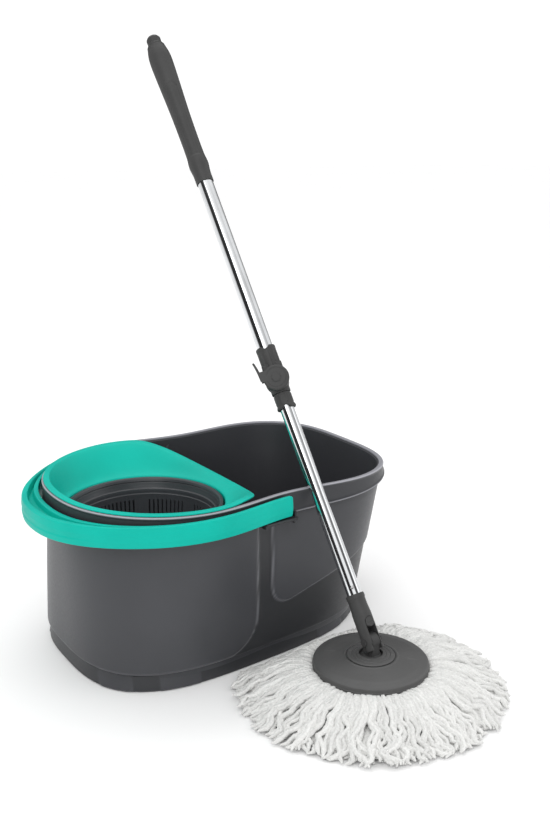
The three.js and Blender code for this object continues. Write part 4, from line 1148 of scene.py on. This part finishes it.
def hingeKnuckle():
    # one broad eye on a swelling foot, with a shallow dish sunk in each face of the eye
    k = knuckle
    across = Matrix.Translation((0, 0, k["pin"])) @ Matrix.Rotation(math.pi / 2, 4, "Y")
    half = k["thickness"] / 2
    eye = placed(turned(roundedProfile([(0, -half), (k["eye"], -half, 1.2), (k["eye"], half, 1.2),
                                        (0, half)]), 72), across)
    neck = block((k["thickness"], 2 * k["eye"] - 0.6, k["pin"] - k["footTop"]),
                 (0, 0, (k["pin"] + k["footTop"]) / 2 - 0.5), 1.6)
    foot = turned(roundedProfile([(0, k["base"]), (k["foot"], k["base"], 0.6),
                                  (k["foot"] - 2.3, k["footTop"], 1),
                                  (k["foot"] - 6, k["footTop"] + 3.2, 3), (0, k["footTop"] + 4.2)]),
                  72)
    pinBore = placed(turned([(0, -20), (k["bore"], -20), (k["bore"], 20), (0, 20)], 32), across)
    recess = []
    for side in (-1, 1):
        dish = turned([(0, 0), (7.2, 0), (7.6, 2), (0, 2)], 48)
        flip = Matrix.Translation((0, 0,
                                   side * (half - 0.7))) @ Matrix.Rotation(0 if side > 0 else math.pi, 4, "X")
        recess.append(placed(dish, across @ flip))
    return moulded("hingeKnuckle", [eye, neck, foot], [pinBore, *recess], headed, voxel=0.42,
                   keep=0.45)


settle(hingeKnuckle(), "head", "mop_plastic", "hinge_knuckle")
print("mop head ready")


# The fringe: a stitched backing under layers of looped yarn

fringe = dict(backLimit=113, backingGap=5, backingPoints=160, backingTone=0.3)
yarnLayers = {
    "low": dict(count=120, inner=84, outer=164, height=11, yarn=3.5, wander=0.16, seed=3),
    "middle": dict(count=180, inner=78, outer=168, height=23, yarn=3.1, wander=0.2, seed=11),
    "top": dict(count=270, inner=71, outer=172, height=34.5, yarn=3.2, wander=0.2, seed=23),
}


def yarnTree():
    tree = bpy.data.node_groups.new("yarnLayer", "GeometryNodeTree")
    face = tree.interface
    plus, minus, times, over = sums(tree)
    ids = {}
    for label, kind in (("Strands", "NodeSocketInt"), ("Inner Radius", "NodeSocketFloat"),
                        ("Outer Radius", "NodeSocketFloat"), ("Crown Height", "NodeSocketFloat"),
                        ("Yarn Radius", "NodeSocketFloat"), ("Wander", "NodeSocketFloat"),
                        ("Back Limit", "NodeSocketFloat"), ("Centre", "NodeSocketVector"),
                        ("Seed", "NodeSocketInt"), ("Finish", "NodeSocketMaterial")):
        ids[label] = face.new_socket(label, in_out="INPUT", socket_type=kind).identifier
    face.new_socket("Mesh", in_out="OUTPUT", socket_type="NodeSocketGeometry")
    given = addNode(tree, "NodeGroupInput").outputs
    result = addNode(tree, "NodeGroupOutput").inputs

    def combine(x, y, z):
        node = addNode(tree, "ShaderNodeCombineXYZ")
        for socket, value in zip(node.inputs, (x, y, z)):
            feed(tree, socket, value)
        return node.outputs[0]

    def randomFor(identity, low, high, shift):
        node = addNode(tree, "FunctionNodeRandomValue", data_type="FLOAT")
        feed(tree, node.inputs[2], low)
        feed(tree, node.inputs[3], high)
        feed(tree, node.inputs["ID"], identity)
        feed(tree, node.inputs["Seed"], plus(given["Seed"], float(shift)))
        return node.outputs[1]

    def noiseAt(vector, scale, detail=2.0):
        node = addNode(tree, "ShaderNodeTexNoise")
        feed(tree, node.inputs["Vector"], vector)
        node.inputs["Scale"].default_value = scale
        node.inputs["Detail"].default_value = detail
        return minus(times(node.outputs["Fac"], 2.0), 1.0)

    line = addNode(tree, "GeometryNodeCurvePrimitiveLine")
    line.inputs["End"].default_value = (1, 0, 0)
    many = addNode(tree, "GeometryNodeResampleCurve")
    feed(tree, many.inputs["Curve"], line.outputs[0])
    many.inputs["Count"].default_value = 27
    points = addNode(tree, "GeometryNodePoints")
    feed(tree, points.inputs["Count"], given["Strands"])
    spread = addNode(tree, "GeometryNodeInstanceOnPoints")
    feed(tree, spread.inputs["Points"], points.outputs[0])
    feed(tree, spread.inputs["Instance"], many.outputs[0])
    numbered = addNode(tree, "GeometryNodeStoreNamedAttribute", data_type="FLOAT",
                       domain="INSTANCE")
    feed(tree, numbered.inputs["Geometry"], spread.outputs[0])
    numbered.inputs["Name"].default_value = "strand"
    feed(tree, numbered.inputs["Value"], addNode(tree, "GeometryNodeInputIndex").outputs[0])
    real = addNode(tree, "GeometryNodeRealizeInstances")
    feed(tree, real.inputs[0], numbered.outputs[0])

    strand = addNode(tree, "GeometryNodeInputNamedAttribute", data_type="FLOAT")
    strand.inputs["Name"].default_value = "strand"
    strand = strand.outputs[0]
    share = addNode(tree, "GeometryNodeSplineParameter").outputs["Factor"]

    start = times(over(plus(strand, randomFor(strand, -0.7, 0.7, 1)), given["Strands"]), fullTurn)
    onCircle = combine(mathNode(tree, "COSINE", start), mathNode(tree, "SINE", start),
                       times(given["Seed"], 1.7))
    clump = noiseAt(onCircle, 5.0)
    ragged = plus(times(noiseAt(onCircle, 2.3), 0.05),
                  times(randomFor(strand, -1.0, 0.35, 2), 0.06))
    outer = times(given["Outer Radius"], plus(1.0, ragged))
    # the bucket presses the yarn back behind a straight line
    side = mathNode(tree, "MAXIMUM", mathNode(tree, "SINE", start), 0.001)
    outer = mathNode(tree, "MINIMUM", outer, over(given["Back Limit"], side))
    inner = plus(given["Inner Radius"], times(randomFor(strand, 0.0, 1.0, 3), 0.006))
    reach = plus(inner, times(share, minus(outer, inner)))
    path = combine(times(mathNode(tree, "COSINE", start), 2.0),
                   times(mathNode(tree, "SINE", start), 2.0),
                   plus(times(share, 1.3), times(given["Seed"], 0.9)))
    swirl = noiseAt(path, 3.2)
    wiggle = noiseAt(combine(times(share, 5.0), times(strand, 3.1), 0.0), 1.0)
    turn = times(given["Wander"], plus(times(swirl, mathNode(tree, "POWER", share, 0.8)),
                                       times(wiggle, times(share, 0.35))))
    gather = times(times(clump, share), 0.07)
    angle = plus(start, plus(turn, gather))
    drop = addNode(tree, "ShaderNodeFloatCurve")
    curve = drop.mapping.curves[0]
    curve.points[0].location, curve.points[1].location = (0, 0.8), (1, 0.13)
    for at, level in ((0.07, 0.97), (0.18, 1.0), (0.4, 0.86), (0.65, 0.58), (0.86, 0.3)):
        curve.points.new(at, level)
    drop.mapping.update()
    feed(tree, drop.inputs["Value"], share)
    lift = noiseAt(combine(times(share, 4.0), times(strand, 1.7),
                           times(given["Seed"], 0.3)), 1.0)
    mound = noiseAt(path, 1.6)
    height = plus(times(drop.outputs[0], given["Crown Height"]),
                  plus(times(lift, 0.0032), times(times(mound, share), 0.007)))
    height = mathNode(tree, "MAXIMUM", height, given["Yarn Radius"])
    spot = combine(times(mathNode(tree, "COSINE", angle), reach),
                   times(mathNode(tree, "SINE", angle), reach), height)
    shifted = addNode(tree, "ShaderNodeVectorMath", operation="ADD")
    feed(tree, shifted.inputs[0], spot)
    feed(tree, shifted.inputs[1], given["Centre"])
    laid = addNode(tree, "GeometryNodeSetPosition")
    feed(tree, laid.inputs["Geometry"], real.outputs[0])
    feed(tree, laid.inputs["Position"], shifted.outputs[0])
    toned = addNode(tree, "GeometryNodeStoreNamedAttribute", data_type="FLOAT", domain="POINT")
    feed(tree, toned.inputs["Geometry"], laid.outputs[0])
    toned.inputs["Name"].default_value = "yarnTone"
    feed(tree, toned.inputs["Value"], randomFor(strand, 0.0, 1.0, 4))

    # the yarn swells and narrows along its length and rounds off at its end
    lumps = noiseAt(combine(times(share, 19.0), times(strand, 5.3), 0.0), 1.0, 1.0)
    tip = mathNode(tree, "SQRT", mathNode(tree, "MINIMUM", 1.0,
                                          plus(0.12, times(minus(1.0, share), 13.0))))
    girth = times(given["Yarn Radius"], times(tip, plus(1.0, times(lumps, 0.42))))
    ring = addNode(tree, "GeometryNodeCurvePrimitiveCircle")
    ring.inputs["Resolution"].default_value = 6
    ring.inputs["Radius"].default_value = 1
    yarn = addNode(tree, "GeometryNodeCurveToMesh")
    feed(tree, yarn.inputs["Curve"], toned.outputs[0])
    feed(tree, yarn.inputs["Profile Curve"], ring.outputs[0])
    feed(tree, yarn.inputs["Scale"], girth)
    yarn.inputs["Fill Caps"].default_value = True
    smooth = addNode(tree, "GeometryNodeSetShadeSmooth")
    feed(tree, smooth.inputs["Geometry"], yarn.outputs[0])
    whole = addNode(tree, "GeometryNodeRealizeInstances")
    feed(tree, whole.inputs[0], smooth.outputs[0])
    finish = addNode(tree, "GeometryNodeSetMaterial")
    feed(tree, finish.inputs["Geometry"], whole.outputs[0])
    feed(tree, finish.inputs["Material"], given["Finish"])
    feed(tree, result[0], finish.outputs[0])
    return tree, ids


def yarnLayer(name, layer, tree, ids):
    holder = bpy.data.objects.new(name, bpy.data.meshes.new(name))
    bpy.context.scene.collection.objects.link(holder)
    grow = holder.modifiers.new("growYarn", "NODES")
    grow.node_group = tree
    values = {"Strands": layer["count"], "Inner Radius": layer["inner"] * mm,
              "Outer Radius": layer["outer"] * mm, "Crown Height": layer["height"] * mm,
              "Yarn Radius": layer["yarn"] * mm, "Wander": layer["wander"],
              "Back Limit": fringe["backLimit"] * mm,
              "Centre": (mopSpot[0] * mm, mopSpot[1] * mm, 0.0),
              "Seed": layer["seed"], "Finish": finishes["microfibre"]}
    for label, value in values.items():
        grow[ids[label]] = value
    flatten(holder)
    return holder


def fringeBacking():
    # the round backing that the yarn is sewn to, thickest under the plate
    sections = [(30, 10), (60, 10), (150, 4), (158, 7), (150, 11), (120, 19), (95, 24), (78, 26.6),
                (40, 26.6)]
    around = fringe["backingPoints"]
    angles = np.arange(around) * fullTurn / around
    rings = []
    for radius, z in sections:
        limit = fringe["backLimit"] - fringe["backingGap"]
        reach = np.minimum(radius * (1 + 0.015 * np.sin(5 * angles) + 0.012 * np.sin(11 * angles + 1)),
                           limit / np.maximum(np.sin(angles), 1e-3))
        rings.append(np.column_stack([reach * np.cos(angles), reach * np.sin(angles),
                                      np.full(around, float(z))]))
    obj = newObject("fringeBacking", loft(rings), headPlace)
    tone = obj.data.attributes.new("yarnTone", "FLOAT", "POINT")
    tone.data.foreach_set("value", np.full(len(obj.data.vertices), fringe["backingTone"]))
    return obj


yarns, yarnInputs = yarnTree()
backing = settle(fringeBacking(), "pad", "microfibre", "fringe_pad")
for layerName, layer in yarnLayers.items():
    piece = yarnLayer(f"fringeYarn.{layerName}", layer, yarns, yarnInputs)
    settle(piece, "pad", "microfibre", "fringe_pad")
    print("yarn layer", layerName, len(piece.data.polygons))
print("fringe ready")


# The pole, in a frame whose origin is the hinge pin and whose Z runs up the pole

restGap = 0.4
# outer radius, inner radius, foot, top
tubes = dict(lower=(9.5, 8.7, 36, 510), upper=(11, 10.2, 372, 884))
poleFoot = Matrix.Translation((*mopSpot, knuckle["pin"]))


def restLean():
    across = -widthAt(rimShape, mopSpot[0] - rimShape["centreX"]) - mopSpot[1]
    up = bucket["height"] - knuckle["pin"]
    return math.atan2(across, up) - math.asin((tubes["lower"][0] + restGap) / math.hypot(across,
            up))


poleSpace = poleFoot @ Matrix.Rotation(poleHeading, 4, "Z") @ Matrix.Rotation(-restLean(), 4, "X")
lockTurn = math.radians(-35)
lockSpace = poleSpace @ Matrix.Rotation(lockTurn, 4, "Z")


def poleTurned(name, profile, segments=96, space=None):
    return evenShading(newObject(name, turned(profile, segments), space or poleSpace))


def pipeProfile(outer, inner, foot, top, fillet=0.25):
    return roundedProfile([(outer, foot, fillet), (outer, top, fillet), (inner, top, fillet),
                           (inner, foot, fillet)], 3)


settle(poleTurned("lowerTube", pipeProfile(*tubes["lower"]), 128), "lower_pole", "chrome_tube",
       "lower_tube")
settle(poleTurned("upperTube", pipeProfile(*tubes["upper"]), 128), "upper_pole", "chrome_tube",
       "upper_tube")

fork = dict(radius=12.3, top=61, crotch=30, gap=13.2, end=12, bore=9.8, socketFloor=35, tabFoot=19)


def alongPin(radius, reach, z, segments=64):
    bar = turned([(0, -reach), (radius, -reach), (radius, reach), (0, reach)], segments)
    return placed(bar, Matrix.Translation((0, 0, z)) @ Matrix.Rotation(math.pi / 2, 4, "Y"))


def alongDepth(radius, fromY, toY, z, segments=64, x=0):
    bar = turned([(0, fromY), (radius, fromY), (radius, toY), (0, toY)], segments)
    return placed(bar, Matrix.Translation((x, 0, z)) @ Matrix.Rotation(-math.pi / 2, 4, "X"))


def forkSocket():
    f = fork
    sleeve = turned(roundedProfile([
        (0, -f["end"]), (f["radius"], -f["end"], 0), (f["radius"], 34, 4),
                                    (f["radius"] - 0.7, 44, 4),
        (f["radius"] - 0.9, f["top"] - 7, 1), (f["radius"] - 0.2, f["top"] - 5.5, 0.6),
        (f["radius"] - 0.2, f["top"] - 0.9, 0.8), (f["radius"] - 1.4, f["top"], 0.4),
                                    (0, f["top"])]), 120)
    corner = []
    for side in (-1, 1):
        # rounds the two prong ends about the pin
        below = block((40, 20, 20), (0, side * (10 + f["end"] * 0.72), -f["end"] - 2), 0)
        corner.append(below)
    slotHeight = f["crotch"] - f["gap"] / 2 + 20
    slot = block((f["gap"], 60, slotHeight), (0, 0, slotHeight / 2 - 20))
    slotEnd = alongDepth(f["gap"] / 2, -20, 20, f["crotch"] - f["gap"] / 2)
    bore = turned([(0, f["socketFloor"]), (f["bore"], f["socketFloor"]), (f["bore"], 80), (0, 80)],
                  64)
    pinBore = alongPin(3.4, 20, 0, 32)
    return moulded("forkSocket", [sleeve], [slot, slotEnd, bore, pinBore, *corner], poleSpace,
                   voxel=0.42, keep=0.45)


def forkTab(name, side):
    # a rounded tab that fills the top of the slot and stops short of the knuckle
    f = fork
    width = f["gap"] / 2 - 0.25
    top = f["crotch"] - 0.3
    near, far = sorted((side * (f["radius"] - 5.2), side * (f["radius"] - 0.5)))
    solids = [block((2 * width, far - near, top - width - f["tabFoot"]),
                    (0, (near + far) / 2, (top - width + f["tabFoot"]) / 2)),
              alongDepth(width, near, far, top - width)]
    groove = block((2 * width - 3, 1.4, 1.6), (0, side * (f["radius"] - 0.3), f["tabFoot"] + 3.2),
                   0.5)
    return moulded(name, solids, [groove], poleSpace, voxel=0.4, keep=0.5)


settle(forkSocket(), "lower_pole", "mop_plastic", "fork_socket")
for tabName, tabSide in (("forkTabFront", -1), ("forkTabBack", 1)):
    settle(forkTab(tabName, tabSide), "lower_pole", "mop_plastic")

hingePin = dict(radius=3, head=5, headThickness=0.9, reach=12.6)
pinHalf = hingePin["reach"] + hingePin["headThickness"]
pinProfile = roundedProfile([
    (0, -pinHalf), (hingePin["head"], -pinHalf, 1), (hingePin["head"], -hingePin["reach"], 0.3),
    (hingePin["radius"], -hingePin["reach"], 0.2), (hingePin["radius"], hingePin["reach"], 0.2),
    (hingePin["head"], hingePin["reach"], 0.3), (hingePin["head"], pinHalf, 1), (0, pinHalf)])
settle(poleTurned("hingePin", pinProfile, 64, poleSpace @ Matrix.Rotation(math.pi / 2, 4, "Y")),
       "lower_pole", "mop_plastic", "hinge_pin")

button = dict(z=70, radius=2.5, flange=3.6, flangeStart=7.7, tip=11.7)
buttonProfile = roundedProfile([
    (0, button["flangeStart"] - 0.8), (button["flange"], button["flangeStart"] - 0.8, 0.2),
    (button["flange"], button["flangeStart"], 0.2), (button["radius"], button["flangeStart"], 0.2),
    (button["radius"], button["tip"] - 1.2, 0.8), (button["radius"] - 1.2, button["tip"] - 0.1,
                                                   0.8),
    (0, button["tip"])])
buttonSpace = lockSpace @ Matrix.Translation((0, 0, button["z"])) @ Matrix.Rotation(math.pi / 2, 4,
        "X")
settle(poleTurned("snapButton", buttonProfile, 48, buttonSpace), "button", "steel", "snap_button")
print("fork and tubes ready")


# The telescopic lock: a ribbed sleeve, a round cam cover and a flip lever

lock = dict(place=359, sleeve=13, top=408, foot=340, barrel=16, barrelFront=15, barrelBack=13,
            upperBore=11.3, lowerBore=9.9, ribs=14, rib=(1.1, 1.3, 27), ribMiddle=29,
            cheek=(9, 20, 20))


def lockHousing():
    k = lock
    sleeve = turned(roundedProfile([
        (0, k["foot"]), (k["sleeve"], k["foot"], 0.8), (k["sleeve"], k["place"] + 14, 2),
        (k["sleeve"] - 0.5, k["place"] + 22, 3), (k["sleeve"] - 0.2, k["top"] - 7, 1),
        (k["sleeve"] + 0.5, k["top"] - 5, 1), (k["sleeve"] + 0.5, k["top"] - 1, 1), (0, k["top"])]),
                    128)
    barrel = alongDepth(k["barrel"], -k["barrelFront"], k["barrelBack"], k["place"], 120)
    solids = [sleeve, barrel]
    for i in range(k["ribs"]):
        rib = block(k["rib"], (0, k["sleeve"] - 0.25, k["place"] + k["ribMiddle"]), 0.4)
        solids.append(placed(rib, Matrix.Rotation((i + 0.5) * fullTurn / k["ribs"], 4, "Z")))
    for side in (-1, 1):
        # cheeks that carry the sleeve into the barrel
        solids.append(block(k["cheek"], (side * 9.4, -2, k["place"] + 12), 2.5))
    upperBore = turned([(0, 371), (k["upperBore"], 371), (k["upperBore"], 430), (0, 430)], 96)
    lowerBore = turned([(0, 330), (k["lowerBore"], 330), (k["lowerBore"], 380), (0, 380)], 96)
    notch = alongDepth(6, -22, -6, k["top"] + 1.5, 48)
    return moulded("lockHousing", solids, [upperBore, lowerBore, notch], lockSpace, voxel=0.45,
                   keep=0.4)


lever = dict(disc=17.5, thickness=5, front=20.3, blade=28, bladeThick=4.2, bladeWidth=6.5)


def lockLever():
    # the disc is slightly domed with a shallow ring; the blade curls away from the sleeve
    v = lever
    front, back = -v["front"], -v["front"] + v["thickness"]
    cover = turned(roundedProfile([
        (0, -back), (v["disc"] - 0.4, -back, 0.4), (v["disc"], -back + 1.2, 0.6),
                                   (v["disc"], -front - 1.4, 1),
        (v["disc"] - 1.6, -front - 0.2, 0.8), (v["disc"] - 3.4, -front - 0.1, 0.5),
        (v["disc"] - 3.9, -front - 0.5, 0.3), (v["disc"] - 4.7, -front - 0.5, 0.3),
        (v["disc"] - 5.2, -front - 0.1, 0.5), (8, -front + 0.1, 4), (0, -front + 0.2)]), 120)
    flip = Matrix.Translation((0, 0, lock["place"])) @ Matrix.Rotation(math.pi / 2, 4, "X")
    cover = placed(cover, flip)
    rings = []
    for share in np.linspace(0, 1, 30):
        z = lock["place"] + 2 + share * (v["blade"] - 2)
        bow = -(v["disc"] + 1.7) - 0.4 * math.sin(share * math.pi) - 3.6 * share ** 2.2
        half = (v["bladeThick"] * (1 - 0.35 * share)) / 2
        width = v["bladeWidth"] * (1 - 0.1 * share)
        corners = [(bow - half, front, 1), (bow + half, front, 1), (bow + half, front + width, 1),
                   (bow - half, front + width, 1)]
        ring = roundedProfile(corners, 3)
        rings.append(np.column_stack([ring, np.full(len(ring), z)]))
    blade = loft(rings)
    bridge = block((10, v["thickness"], 15), (-v["disc"] + 2.2, (front + back) / 2,
                                              lock["place"] + 6), 1.5)
    pinBore = alongDepth(3.4, -30, -10, lock["place"], 48)
    return moulded("lockLever", [cover, blade, bridge], [pinBore], lockSpace, voxel=0.36, keep=0.4)


settle(lockHousing(), "upper_pole", "mop_plastic", "lock_housing")
settle(lockLever(), "lever", "mop_plastic", "lock_lever")

lockPin = dict(radius=3, head=6.5, headThickness=0.9, front=20.5, end=10.9)
lockPinProfile = roundedProfile([
    (0, lockPin["end"]), (lockPin["radius"], lockPin["end"], 0.3),
                                 (lockPin["radius"], lockPin["front"], 0.2),
    (lockPin["head"], lockPin["front"], 0.1), (lockPin["head"], lockPin["front"] + 0.4, 0.3),
    (lockPin["head"] - 1.6, lockPin["front"] + lockPin["headThickness"], 0.9),
    (0, lockPin["front"] + lockPin["headThickness"] + 0.1)])
settle(poleTurned("lockPin", lockPinProfile, 72, lockSpace @ Matrix.Translation((0, 0,
        lock["place"]))
                  @ Matrix.Rotation(math.pi / 2, 4, "X")), "upper_pole", "mop_plastic", "lock_pin")

guide = dict(bore=9.65, outer=11.6, lip=12.8, foot=318, top=339.7, ribs=10, rib=(1, 1.2, 12),
             ribMiddle=13.5)


def guideBush():
    # a split sleeve: its flared lip is notched in front and behind, which leaves two ears
    g = guide
    sleeve = turned(roundedProfile([
        (g["lip"], g["foot"], 0.6), (g["lip"] + 0.3, g["foot"] + 2.4, 1),
                                    (g["outer"] + 0.2, g["foot"] + 5.6, 1.5),
        (g["outer"], g["top"], 0.3), (g["bore"], g["top"], 0.3), (g["bore"], g["foot"], 0.5)]), 120)
    arches = [alongDepth(6.4, -20, 20, g["foot"] - 2.2, 60)]
    ribs = []
    for i in range(g["ribs"]):
        rib = block(g["rib"], (0, g["outer"], g["foot"] + g["ribMiddle"]), 0.35)
        ribs.append(placed(rib, Matrix.Rotation((i + 0.5) * fullTurn / g["ribs"], 4, "Z")))
    return moulded("guideBush", [sleeve, *ribs], arches, lockSpace, voxel=0.38, keep=0.45)


settle(guideBush(), "slider", "mop_plastic", "guide_bush")
print("lock ready")


# The hand grip: a swelling sleeve with a sunk thumb panel on its front

grip = dict(foot=662, top=888, bore=11.3, panelTop=822, panelFoot=702, panelHalf=0.72, sink=0.75,
            stations=((662, 12.4), (666, 12.5), (674, 12.3), (682, 13.0), (687, 14.1), (692, 14.3),
                      (697, 13.7),
                      (703, 12.9), (720, 12.7), (745, 12.9), (770, 13.3), (795, 14.1), (820, 14.9),
                      (842, 15.5),
                      (858, 15.9), (868, 15.8), (876, 15.0), (883, 13.5), (888, 12.2)))
gripCap = dict(radius=10.4, foot=888.3, top=905.3, plug=9.9, plugFoot=872.3)


def gripRadius(z):
    places, radii = zip(*grip["stations"])
    return np.interp(z, places, radii)


def handGrip():
    g = grip
    around = 144
    angles = np.arange(around) * fullTurn / around
    heights = np.linspace(g["foot"], g["top"], 190)
    smoothed = gripRadius(np.clip(heights[:, None] + np.linspace(-5, 5, 11)[None, :], g["foot"],
                                  g["top"])).mean(1)
    rings = []
    for z, radius in zip(heights, smoothed):
        fromFront = np.abs((angles + math.pi / 2 - lockTurn + math.pi) % fullTurn - math.pi)
        topEdge = g["panelTop"] - 9 * (fromFront / g["panelHalf"]) ** 2
        sideWays = (g["panelHalf"] * (0.8 + 0.2 * (z - g["panelFoot"]) / 120) - fromFront) * radius
        inPanel = np.minimum(np.minimum(topEdge - z, z - g["panelFoot"]), sideWays)
        sunk = smoothStep(inPanel, -0.8, 1.2) * g["sink"] * (0.35 + 0.65 * smoothStep(inPanel, 9,
                0))
        oval = radius * (1 + 0.035 * np.cos(2 * (angles - lockTurn)) * smoothStep(z, 780,
                860)) - sunk
        rings.append(np.column_stack([oval * np.cos(angles), oval * np.sin(angles),
                                      np.full(around, z)]))
    inner = []
    for z, radius in ((g["top"] + 0.2, gripRadius(g["top"]) - 0.6), (g["top"], g["bore"] + 0.3),
                      (g["top"] - 1, g["bore"]), (g["foot"] + 1, g["bore"]),
                      (g["foot"] - 0.2, g["bore"] + 0.4),
                      (g["foot"] - 0.3, g["bore"] + 0.9)):
        inner.append(np.column_stack([radius * np.cos(angles), radius * np.sin(angles),
                                      np.full(around, float(z))]))
    return evenShading(newObject("handGrip", loft(rings + inner, looped=True), poleSpace), 45)


def gripCapPiece():
    c = gripCap
    profile = roundedProfile([
        (0, c["plugFoot"]), (c["plug"], c["plugFoot"], 0.5), (c["plug"], c["foot"], 0.3),
        (c["radius"] + 0.9, c["foot"], 0.5), (c["radius"] + 0.9, c["foot"] + 2.6, 0.8),
                              (c["radius"] - 0.2, c["foot"] + 4, 1),
        (c["radius"] + 0.1, c["top"] - 5, 3), (c["radius"] - 2.4, c["top"] - 1.3, 2.4),
                              (c["radius"] - 6, c["top"], 3),
        (0, c["top"] + 0.1)], 7)
    return poleTurned("gripCap", profile, 120)


settle(handGrip(), "upper_pole", "mop_plastic", "hand_grip")
settle(gripCapPiece(), "upper_pole", "mop_plastic", "grip_cap")
print("grip ready")
